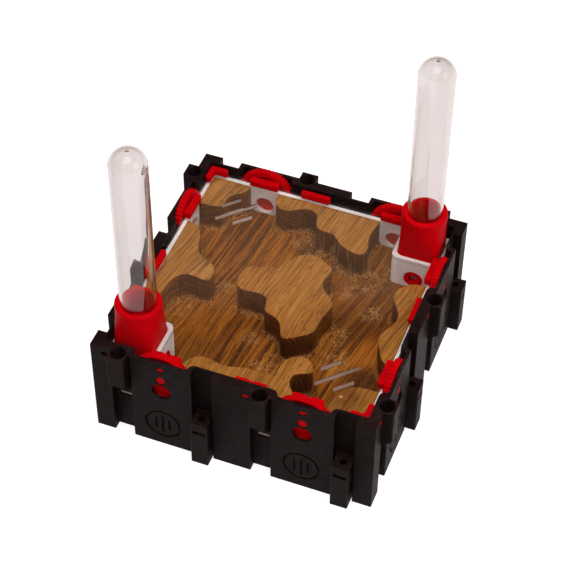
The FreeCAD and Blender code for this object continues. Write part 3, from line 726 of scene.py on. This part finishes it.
# ---- carved wood ------------------------------------------------------------------------------------
def spline_slopes(steps, values, closed):
    """Slopes of the smoothest cubic curve through values, with free ends or closed on itself."""
    count = len(values)
    system = np.zeros((count, count))
    right = np.zeros_like(values)
    for i in range(count):
        if not closed and i in (0, count - 1):
            other = 1 if i == 0 else count - 2
            step = steps[0 if i == 0 else -1]
            system[i, i], system[i, other] = 2, 1
            right[i] = 3 * (values[max(i, other)] - values[min(i, other)]) / step
            continue
        before, after = steps[i - 1], steps[i]
        low, high = (i - 1) % count, (i + 1) % count
        system[i, low], system[i, i], system[i, high] = after, 2 * (before + after), before
        rise, next_rise = values[i] - values[low], values[high] - values[i]
        right[i] = 3 * (after * rise / before + before * next_rise / after)
    return np.linalg.solve(system, right)


def smooth_outline(corners, spacing, closed):
    """Evenly spaced points on the smoothest curve through the corners: a cubic between each two, with the
    slope that they share at the corner."""
    points = np.array(corners, float)
    ends = np.roll(points, -1, 0) if closed else points[1:]
    starts = points if closed else points[:-1]
    steps = np.linalg.norm(ends - starts, axis=1)
    slopes = spline_slopes(steps, points, closed)
    next_slopes = np.roll(slopes, -1, 0) if closed else slopes[1:]
    own_slopes = slopes if closed else slopes[:-1]
    t = np.linspace(0, 1, 80, endpoint=False)[None, :, None]
    h = steps[:, None, None]
    dense = ((2 * t**3 - 3 * t**2 + 1) * starts[:, None] + (t**3 - 2 * t**2 + t) * h * own_slopes[:, None]
             + (3 * t**2 - 2 * t**3) * ends[:, None] + (t**3 - t**2) * h * next_slopes[:, None])
    dense = np.vstack([dense.reshape(-1, 2), dense[0, :1] if closed else points[-1:]])
    along = np.concatenate([[0], np.cumsum(np.linalg.norm(np.diff(dense, axis=0), axis=1))])
    count = int(round(along[-1] / spacing))
    wanted = np.linspace(0, along[-1], count, endpoint=not closed)
    return np.stack([np.interp(wanted, along, dense[:, k]) for k in (0, 1)], 1)


def outward_directions(edge, ring, closed):
    """Unit tangents along a plateau's free edge, and the directions that point away from the plateau.

    ring is the plateau's whole outline."""
    tangent = (np.roll(edge, -1, 0) - np.roll(edge, 1, 0)) if closed else np.gradient(edge, axis=0)
    tangent /= np.linalg.norm(tangent, axis=1, keepdims=True)
    outwards = np.stack([tangent[:, 1], -tangent[:, 0]], 1)
    area = np.sum(ring[:, 0] * np.roll(ring[:, 1], -1) - np.roll(ring[:, 0], -1) * ring[:, 1])
    return tangent, outwards * math.copysign(1, area)


def foot_radii(tangent, outwards, spacing, widest):
    """The foot's radius along a free edge: the widest one, or a share of the edge's own bend where that is
    tighter, and then evened out along the edge."""
    turn = np.einsum("ij,ij->i", np.gradient(tangent, axis=0), outwards) / spacing
    share, evened_over = 0.8, 2.5 * MM
    foot = np.minimum(widest, share / np.maximum(turn, 1e-6))
    reach = int(evened_over / spacing)
    window = range(-reach, reach + 1)
    foot = np.min([np.roll(foot, k) for k in window], axis=0)
    return np.mean([np.roll(foot, k) for k in window], axis=0)


def cutter_marks(along, pitch, depth):
    """How far the cutter's upright marks stand out along a free edge. Their pitch drifts slowly."""
    drift = 2.0 * np.sin(along / (9 * MM))
    return (1 - np.abs(np.cos(math.pi * along / pitch + drift))) * depth


def wall_levels(foot, marks):
    """A plateau's round edge, wall, foot and base, as reach and height all along the free edge."""
    wood = bpy.context.scene.habitat.wood
    top = NEST_HIGH.z - wood.top_gap
    wall_top = top - wood.edge_radius
    wall_foot = NEST_FLOOR + wood.foot_radius
    full_marks = 0.2
    levels = []
    for a in np.radians(np.linspace(0, 90, 5)):
        levels.append((wood.edge_radius * (np.sin(a) - 1), top - wood.edge_radius * (1 - np.cos(a))))
    for share in (0.06, 0.2, 0.4, 0.6, 0.8):
        levels.append((marks * min(1.0, share / full_marks), wall_top + share * (wall_foot - wall_top)))
    for a in np.radians(np.linspace(0, 90, 8)):
        reach = foot * (1 - np.cos(a)) + marks * (1 - a / (math.pi / 2))
        levels.append((reach, NEST_FLOOR + foot * (1 - np.sin(a))))
    levels.append((foot, NEST_FLOOR - 2 * MM))
    return [np.broadcast_arrays(reach, z, foot)[:2] for reach, z in levels]


def plateau_solid(name, corners, outer_corners):
    """A plateau as a closed solid: each level is its outline with the free edge moved outwards."""
    wood = bpy.context.scene.habitat.wood
    closed = not outer_corners
    scale = NEST_HALF / DRAWN_HALF
    spacing = 0.3 * MM
    edge = smooth_outline(np.array(corners) * scale, spacing, closed)
    outer = np.array(outer_corners, float).reshape(-1, 2) * scale
    tangent, outwards = outward_directions(edge, np.vstack([edge, outer]), closed)
    foot = foot_radii(tangent, outwards, spacing, wood.foot_radius)
    marks = cutter_marks(np.arange(len(edge)) * spacing, wood.mark_pitch, wood.mark_depth)
    rings = []
    for reach, z in wall_levels(foot, marks):
        outline = np.vstack([edge + outwards * reach[:, None], outer])
        heights = np.concatenate([z, np.full(len(outer), z.mean())])
        rings.append(np.column_stack([outline, heights]))
    return capped_solid(name, rings)


def block_outline():
    """The nest block's outline: a square with two small round corners and two bites for the cups."""
    bite, small, large = 36.4 * MM, 1.0 * MM, 3.2 * MM
    half = NEST_HALF
    run = arc((half - small, small - half), small, -90, 0, 9) + [(half, bite)]
    run += arc((bite + large, bite + large), large, -90, -180, 9) + [(bite, half)]
    return np.array(run + [(-x, -y) for x, y in run])


# ---- turned and lofted pieces -----------------------------------------------------------------------
def turned_solid(name, profile, segments, waves=None, closed_profile=False):
    """A profile of (radius, height) carried round Z: the radius times the angle's cosine and sine.

    waves(angles, radii) may change the radii."""
    profile = np.array(profile, float)
    angles = np.linspace(0, 2 * math.pi, segments, endpoint=False)
    radii = np.broadcast_to(profile[:, 0][:, None], (len(profile), segments))
    if waves:
        radii = waves(angles[None, :], radii)
    points = np.stack([radii * np.cos(angles), radii * np.sin(angles),
                       np.broadcast_to(profile[:, 1][:, None], radii.shape)], -1)
    faces = grid_faces(len(profile), segments, closed_rows=closed_profile, closed_columns=True)
    return mesh_object(name, points, faces)


def wheel_profile():
    """Half section of a gate wheel: height 0 is the wall's outer plane, and grows inwards."""
    radius, rim = 13.1 * MM, 0.35 * MM
    front, back = 1.8 * MM, 4.8 * MM
    hub, pin, boss = 2.15 * MM, 0.3 * MM, 3.2 * MM
    front_dish, front_depth = 12.0 * MM, 0.9 * MM
    back_dish, back_depth, back_land = 10.0 * MM, 1.0 * MM, 11.4 * MM
    soft = 0.2 * MM
    profile = [(0, pin), (hub - soft, pin), (hub, pin + soft), (hub, front), (boss, front),
               (boss, front + front_depth), (front_dish, front + front_depth), (front_dish, front)]
    profile += arc((radius - rim, front + rim), rim, -90, 0)
    profile += arc((radius - rim, back - rim), rim, 0, 90)
    profile += [(back_land, back), (back_dish + soft, back), (back_dish, back - soft)]
    profile += [(back_dish, back - back_depth), (boss, back - back_depth), (boss, back - soft)]
    profile += [(boss - soft, back), (0, back)]
    return profile


def knurl(angles, radii):
    """The wheel's rim: 40 round ridges. A groove's depth is a squared sine across its width, and it fades out
    inside the outermost part of the section."""
    teeth, depth = 40, 0.6 * MM
    inner, outer = 11.6 * MM, 12.7 * MM
    phase, half_width = 0.775, 0.26
    from_groove = np.abs((angles * teeth / (2 * math.pi) - phase) % 1 - 0.5)
    groove = np.sin(np.clip(1 - from_groove / half_width, 0, 1) * math.pi / 2) ** 2
    share = np.clip((radii - inner) / (outer - inner), 0, 1)
    return radii - depth * groove * share


def rounded_square_reach(angles, half, corner):
    """Distance from the centre to the side of a square with round corners, at each angle: half over the
    cosine on a straight side, and the far crossing with the corner's circle elsewhere."""
    folded = np.abs((angles + math.pi / 4) % (math.pi / 2) - math.pi / 4)
    straight = half / np.cos(folded)
    centre = half - corner
    middle = folded - math.pi / 4
    across = centre * math.sqrt(2) * np.sin(middle)
    round_reach = centre * math.sqrt(2) * np.cos(middle) + np.sqrt(np.maximum(corner**2 - across**2, 0))
    return np.where(half * np.tan(folded) > centre, round_reach, straight)


def socket_levels():
    """Outer and inner levels of a tower socket: (half size, height, share of roundness)."""
    low, top = SOCKET_LOW.z, SOCKET_HIGH.z
    foot, collar = 9.3 * MM, 10.25 * MM
    shoulder, neck = COVER_HIGH.z, top - 4.5 * MM
    soft, lip, mouth = 0.3 * MM, 0.8 * MM, 0.06 * MM
    bore, passage, seat = 8.02 * MM, 6.5 * MM, TUBE_LOW.z
    levels = [(passage, low, 1), (foot - soft, low, 0), (foot, low + soft, 0), (foot, shoulder, 0)]
    for share in np.linspace(0.1, 1, 10):
        levels.append((foot + (collar - foot) * share, shoulder + (neck - shoulder) * share, share))
    levels += [(r, z, 1) for r, z in arc((collar - lip, top - lip), lip, 0, 90, 6)]
    levels += [(r, z, 1) for r, z in arc((bore + mouth, top - mouth), mouth, 90, 180, 4)]
    levels += [(bore, seat, 1), (passage, seat, 1)]
    return levels


def socket_mesh(name):
    """Levels carried round the axis; each goes from a round-cornered square to a circle by its share."""
    count, corner = 96, 3.2 * MM
    angles = np.linspace(0, 2 * math.pi, count, endpoint=False)
    rows = []
    for half, z, roundness in socket_levels():
        square = rounded_square_reach(angles, half, corner)
        reach = square * (1 - roundness) + half * roundness
        rows.append(np.stack([reach * np.cos(angles), reach * np.sin(angles), np.full(count, z)], -1))
    faces = grid_faces(len(rows), count, closed_rows=True, closed_columns=True)
    return mesh_object(name, np.array(rows), faces)


def tube_profile():
    """Half section of the round-bottomed tube, from the inner mouth over the dome to the inner dome."""
    radius, wall = 8.0 * MM, 1.0 * MM
    low, top = TUBE_LOW.z, TUBE_HIGH.z
    mark, nub = 0.3 * MM, 0.8 * MM
    soft, step = 0.25 * MM, 0.01 * MM
    dome = top - mark - radius
    crown = dome + math.sqrt(radius**2 - nub**2)
    inner, body = radius - wall, radius - step
    profile = [(inner, low + soft), (inner + soft, low), (body - soft, low), (body, low + soft),
               (body, dome - step), (radius, dome)]
    profile += arc((0, dome), radius, 4, 84, 18)
    # the moulding mark: a small collar round a hollow
    profile += [(nub + 0.2 * MM, crown - 0.03 * MM), (nub, crown + 0.06 * MM),
                (nub * 0.85, top - 0.05 * MM), (nub * 0.6, top),
                (nub * 0.3, top - 0.12 * MM), (0, top - 0.16 * MM)]
    profile += arc((0, dome), inner, 90, 0, 18)
    return profile


# ---- operators --------------------------------------------------------------------------------------
def wall_units():
    """The name of each of the eight wall units, and the turn that brings the front wall's middle to it."""
    for wall, name in enumerate(WALLS):
        turn = Matrix.Rotation(math.pi / 2 * wall, 4, "Z")
        for count, x in ((1, -UNIT / 2), (2, UNIT / 2)):
            yield "%s_%d" % (name, count), turn @ Matrix.Translation((x, 0, 0))


def stood_up(height):
    """Stands a shape drawn round Z in the front wall at a height, with its Z pointing inwards."""
    return Matrix(((1, 0, 0, 0), (0, 0, 1, -HALF), (0, -1, 0, height), (0, 0, 0, 1)))


def red_print():
    """The red plastic, made once."""
    red = bpy.context.scene.habitat.print.red
    # the red's level faces are painted a little darker (0.95): painted shade on the tops
    return bpy.data.materials.get("red_print") or printed("red_print", red, 0.38, 0.03 * MM, 0.95, sheen=0.03)


class HabitatOperator:
    """What all operators here share."""
    bl_options = {"REGISTER", "UNDO"}

    @property
    def settings(self):
        return bpy.context.scene.habitat


class HABITAT_OT_studio(HabitatOperator, bpy.types.Operator):
    """Camera, pale floor, room light and lamps"""
    bl_idname = "habitat.studio"
    bl_label = "Studio"

    def execute(self, context):
        studio = self.settings.studio
        self.camera(context.scene, studio)
        self.floor(studio)
        self.room(context.scene, studio)
        self.softbox("key_light", studio.key_radiance, studio.key_place, studio.key_size)
        self.softbox("fill_light", studio.fill_radiance, studio.fill_place, studio.fill_size)
        context.scene.view_settings.view_transform = "Standard"
        return {"FINISHED"}

    def camera(self, scene, studio):
        a, e, r = studio.azimuth, studio.elevation, studio.roll
        back = Vector((math.sin(a) * math.cos(e), -math.cos(a) * math.cos(e), math.sin(e)))
        level = Vector((math.cos(a), math.sin(a), 0))
        up = back.cross(level)
        across = math.cos(r) * level + math.sin(r) * up
        upward = math.cos(r) * up - math.sin(r) * level
        camera = bpy.data.objects.new("camera", bpy.data.cameras.new("camera"))
        camera.data.lens = studio.lens
        camera.data.sensor_width = 36.0
        turn = Matrix((across, upward, back)).transposed().to_4x4()
        camera.matrix_world = Matrix.Translation(Vector(studio.target) + back * studio.distance) @ turn
        camera.data.clip_start, camera.data.clip_end = 0.01, 20.0
        scene.collection.objects.link(camera)
        scene.camera = camera

    def in_pieces(self, path):
        """1 for rays that a piece has mirrored or let through."""
        return largest(out(path, "Is Glossy Ray"), out(path, "Is Transmission Ray"))

    def floor(self, studio):
        size, drop = 4.0, 0.1 * MM
        material, place = blank_material("table")
        tone = shaded(studio.floor_colour, rescale(mottle(place, 0.02), 0.0, 1.0, 0.99, 1.01))
        matte = plastic(place.tree, colour=tone, roughness=0.9, specular=0.1)
        path = add(place.tree, "ShaderNodeLightPath")
        glow = self.in_pieces(path) * studio.floor_glow + out(path, "Is Camera Ray") * studio.floor_white
        light = out(add(place.tree, "ShaderNodeEmission", {"Color": rgba(WHITE), "Strength": glow}))
        show(out(add(place.tree, "ShaderNodeAddShader", {0: matte, 1: light})))
        corners = [(x * size, y * size, -drop) for x, y in ((-1, -1), (1, -1), (1, 1), (-1, 1))]
        table = mesh_object("table", corners, [(0, 1, 2, 3)])
        table.data.materials.append(material)

    def room(self, scene, studio):
        """Even light, with a darker room of wall and ceiling for what the pieces mirror."""
        world = bpy.data.worlds.new("room")
        scene.world = world
        world.use_nodes = True
        tree = world.node_tree
        tree.nodes.clear()
        height = split(out(add(tree, "ShaderNodeTexCoord"), "Generated"))[2]
        above = rescale(height, studio.wall_top - 0.006, studio.wall_top + 0.010, smooth=True)
        path = add(tree, "ShaderNodeLightPath")
        mirrored = blended(above, studio.wall_colour, studio.ceiling_colour)
        light = blended(self.in_pieces(path), studio.room_light, mirrored)
        light = blended(out(path, "Is Camera Ray"), light, WHITE)
        background = out(add(tree, "ShaderNodeBackground", {"Color": light}))
        add(tree, "ShaderNodeOutputWorld", {"Surface": background})

    def softbox(self, name, radiance, place, size):
        lamp = bpy.data.lights.new(name, "AREA")
        lamp.shape = "SQUARE"
        lamp.size = size
        lamp.energy = radiance * math.pi * size**2
        box = bpy.data.objects.new(name, lamp)
        box.location = place
        box.rotation_euler = (-Vector(place)).to_track_quat("-Z", "Y").to_euler()
        box.visible_camera = False
        box.visible_glossy = False
        bpy.context.scene.collection.objects.link(box)


class HABITAT_OT_shell(HabitatOperator, bpy.types.Operator):
    """Black shell with an engraved figure in every panel"""
    bl_idname = "habitat.shell"
    bl_label = "Shell"

    def execute(self, context):
        settings = self.settings.print
        nodes = [node for node in NODES if node.startswith("shell_")]
        piece = joined_copy(nodes, "shell_print")
        soften(piece, settings.edge)
        for vertex in piece.data.vertices:
            vertex.co.z = max(vertex.co.z, 0.0)
        figure_height = 13.5 * MM
        cutters = []
        for _, place in wall_units():
            for cutter in self.panel_figure(settings.figure_depth):
                cutter.data.transform(place @ stood_up(figure_height))
                cutters.append(cutter)
        boolean(piece, cutters, "DIFFERENCE")
        smooth(piece)
        settle(piece)
        # the shell: level faces painted lighter (1.9), a painted highlight on slanting faces and edges (1.6),
        # painted shade between beads (0.1)
        black = printed("black_print", settings.black, 0.44, 0.05 * MM, 1.9, sheen=0.07, streak=0.5,
                        painted_furrow_shade=0.1, painted_edge_highlight=1.6)
        finish_piece(piece, [black], "module")
        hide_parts(*nodes)
        return {"FINISHED"}

    def panel_figure(self, depth):
        """Cutters for the figure in a panel: a ring round three upright grooves, drawn round Z."""
        outer, line, proud = 8.5 * MM, 1.1 * MM, 0.5 * MM
        gap, short, long = 3.1 * MM, 2.9 * MM, 5.0 * MM
        ring = [(outer - line, -proud), (outer, -proud), (outer, depth), (outer - line, depth)]
        pieces = [turned_solid("ring", ring, 72, closed_profile=True)]
        cap = np.array(arc((0, 0), line / 2, 0, 180, 9))
        for x, reach in ((-gap, short), (0.0, long), (gap, short)):
            outline = np.vstack([cap + (0, reach), -cap - (0, reach)]) + (x, 0)
            pieces.append(prism("groove", outline, -proud, depth))
        return pieces


class HABITAT_OT_liner(HabitatOperator, bpy.types.Operator):
    """White liner with the two cups"""
    bl_idname = "habitat.liner"
    bl_label = "Liner"

    def execute(self, context):
        settings = self.settings.print
        nodes = [node for node in NODES if node.startswith(("liner_", "cup_front", "cup_back"))]
        piece = joined_copy(nodes, "liner_print")
        soften(piece, settings.edge)
        smooth(piece)
        settle(piece)
        # the white: level faces painted lighter (1.08), painted shade between beads (0.5)
        white = printed("white_print", settings.white, 0.5, 0.06 * MM, 1.08, painted_furrow_shade=0.5)
        finish_piece(piece, [white], "module")
        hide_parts(*nodes)
        return {"FINISHED"}


class HABITAT_OT_nest(HabitatOperator, bpy.types.Operator):
    """Carved wood nest block"""
    bl_idname = "habitat.nest"
    bl_label = "Nest"

    def execute(self, context):
        room = NEST_HALF + 3 * MM
        square = np.array([(-room, -room), (room, -room), (room, room), (-room, room)])
        piece = prism("nest_wood", square, NEST_LOW.z - MM, NEST_FLOOR)
        plateaus = [plateau_solid("plateau", ISLAND, [])]
        plateaus += [plateau_solid("plateau", corners, outer) for corners, outer in WALL_PLATEAUS]
        boolean(piece, plateaus, "UNION")
        boolean(piece, [prism("block", block_outline(), NEST_LOW.z, NEST_HIGH.z + MM)], "INTERSECT")
        clean(piece.data)
        smooth(piece, math.radians(40))
        finish_piece(piece, [carved_wood("acacia")], "module")
        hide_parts("nest_block")
        return {"FINISHED"}


class HABITAT_OT_cover(HabitatOperator, bpy.types.Operator):
    """Clear cover with six vents"""
    bl_idname = "habitat.cover"
    bl_label = "Cover"

    def execute(self, context):
        clear = self.settings.clear
        piece = copy_of_node("cover", "cover_pane")
        lift, near = 0.05 * MM, 0.01 * MM
        for vertex in piece.data.vertices:
            if vertex.co.z < COVER_LOW.z + near:
                vertex.co.z += lift
        soften(piece, clear.edge)
        smooth(piece, math.radians(10))
        pane = (clear.tint, clear.refraction, clear.polish)
        glass = clear_plastic("clear_cover", *pane, coat=1.0)
        underside = clear_plastic("clear_underside", *pane, mirror=0.0)
        vent = sawn_plastic("sawn_vent", clear.vent_colour, clear.vent_tint, clear.vent_share,
                            clear.vent_frost, 0.3)
        rim = sawn_plastic("cut_edge", clear.rim_colour, clear.rim_tint, clear.rim_share,
                           clear.rim_frost, 0.5)
        finish_piece(piece, [glass, vent, rim, underside], "module")
        for face in piece.data.polygons:
            face.material_index = self.material_of(face)
        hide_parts("cover")
        return {"FINISHED"}

    def material_of(self, face):
        """0 for the top of the cover, 1 in a vent, 2 round the rim and 3 underneath."""
        upright = abs(face.normal.z) < 0.3
        if not upright:
            return 3 if face.normal.z < 0 else 0
        x, y, _ = face.center
        vents_reach, vents_middle, inside = 12 * MM, 54 * MM, 56 * MM
        from_vents = abs(abs(x - y) / math.sqrt(2) - vents_middle)
        return 1 if from_vents < vents_reach and max(abs(x), abs(y)) < inside else 2


class HABITAT_OT_wheels(HabitatOperator, bpy.types.Operator):
    """Knurled gate wheels, and the pads in the windows above them"""
    bl_idname = "habitat.wheels"
    bl_label = "Gate wheels"

    def execute(self, context):
        red = red_print()
        pattern = self.wheel()
        for unit, place in wall_units():
            node = "gate_wheel_" + unit
            mesh = pattern.data.copy()
            mesh.transform(place @ stood_up(GATE_AXIS))
            piece = bpy.data.objects.new(node + "_print", mesh)
            context.scene.collection.objects.link(piece)
            smooth(piece)
            finish_piece(piece, [red], node)
            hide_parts(node)
            pad = self.window_pad("window_pad_" + unit)
            pad.data.transform(place)
            smooth(pad)
            finish_piece(pad, [red], "module")
        bpy.data.objects.remove(pattern)
        return {"FINISHED"}

    def wheel(self):
        """A wheel with its passage hole, drawn round Z."""
        radius, deep, from_axis = 4.4 * MM, 6 * MM, 7.0 * MM
        pattern = turned_solid("wheel", wheel_profile(), 400, waves=knurl)
        bore = turned_solid("bore", [(0, 0), (radius, 0), (radius, deep), (0, deep)], 64)
        bore.data.transform(Matrix.Translation((from_axis, 0, 0)))
        boolean(pattern, [bore], "DIFFERENCE")
        clean(pattern.data)
        return pattern

    def window_pad(self, name):
        """A pad in a panel's window, on a thin flange behind it, drawn for the front wall. Each ring is an
        ellipse grown by fullness and clipped to its own box, which leaves round corners."""
        reach, rise, proud, slope = 1.65 * MM, 1.05 * MM, 0.15 * MM, 0.35 * MM
        skin, flange, lap = 1.6 * MM, 0.5 * MM, 0.9 * MM
        centre, count, fullness = 49.0 * MM, 24, 1.3
        turns = np.linspace(0, 2 * math.pi, count, endpoint=False)
        rings = []
        for half, height, depth in ((0.7 * reach, 0.7 * rise, proud), (reach, rise, proud + slope),
                                    (reach, rise, skin), (reach + lap, rise + lap, skin),
                                    (reach + lap, rise + lap, skin + flange)):
            across = np.clip(fullness * np.cos(turns), -1, 1) * half
            upward = np.clip(fullness * np.sin(turns), -1, 1) * height
            rings.append(np.stack([across, np.full(count, depth - HALF), centre + upward], -1))
        return capped_solid(name, rings)


class HABITAT_OT_clips(HabitatOperator, bpy.types.Operator):
    """Cover clips, gate clips and corner clips"""
    bl_idname = "habitat.clips"
    bl_label = "Clips"

    def execute(self, context):
        for node in sorted(NODES):
            if "clip" in node:
                dressed_copy(node, red_print(), self.settings.print.edge, node)
        return {"FINISHED"}


class HABITAT_OT_towers(HabitatOperator, bpy.types.Operator):
    """Tower sockets, test tubes and cup plugs"""
    bl_idname = "habitat.towers"
    bl_label = "Towers"

    def execute(self, context):
        clear, edge = self.settings.clear, self.settings.print.edge
        glass = clear_plastic("clear_tube", clear.tube_tint, clear.tube_refraction, clear.tube_polish)
        for name, sign in TOWERS.items():
            place = Matrix.Translation((sign * TOWER_CENTRE, sign * TOWER_CENTRE, 0))
            socket = socket_mesh("tower_socket_%s_print" % name)
            tube = turned_solid("test_tube_%s_glass" % name, tube_profile(), 96, closed_profile=True)
            for piece, node, material, slot in ((socket, "tower_socket_" + name, red_print(), "red_plastic"),
                                                (tube, "test_tube_" + name, glass, "clear_tube")):
                piece.data.transform(place)
                smooth(piece)
                finish_piece(piece, [material], node)
                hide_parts(node)
            for along in "xy":
                dressed_copy("cup_plug_%s_%s" % (along, name), red_print(), edge, "module")
        return {"FINISHED"}


class HABITAT_PT_panel(bpy.types.Panel):
    """Lists the pieces of the ant habitat"""
    bl_idname = "HABITAT_PT_panel"
    bl_label = "Ant habitat"
    bl_space_type = "VIEW_3D"
    bl_region_type = "UI"
    bl_category = "Ant habitat"

    def draw(self, context):
        settings = context.scene.habitat
        for operator in OPERATORS:
            self.layout.operator(operator.bl_idname)
        for group in (settings.studio, settings.print, settings.wood, settings.clear):
            box = self.layout.box()
            for name in type(group).__annotations__:
                box.prop(group, name)


OPERATORS = (HABITAT_OT_studio, HABITAT_OT_shell, HABITAT_OT_liner, HABITAT_OT_nest, HABITAT_OT_cover,
             HABITAT_OT_wheels, HABITAT_OT_clips, HABITAT_OT_towers)
CLASSES = (StudioSettings, PrintSettings, WoodSettings, ClearSettings, HabitatSettings, *OPERATORS,
           HABITAT_PT_panel)


def register():
    for item in CLASSES:
        bpy.utils.register_class(item)
    bpy.types.Scene.habitat = bpy.props.PointerProperty(type=HabitatSettings, name="Ant habitat",
                                                        description="Settings of the ant habitat")


def unregister():
    del bpy.types.Scene.habitat
    for item in reversed(CLASSES):
        bpy.utils.unregister_class(item)


def main():
    register()
    for operator in OPERATORS:
        group, name = operator.bl_idname.split(".")
        getattr(getattr(bpy.ops, group), name)()


if __name__ == "__main__":
    main()
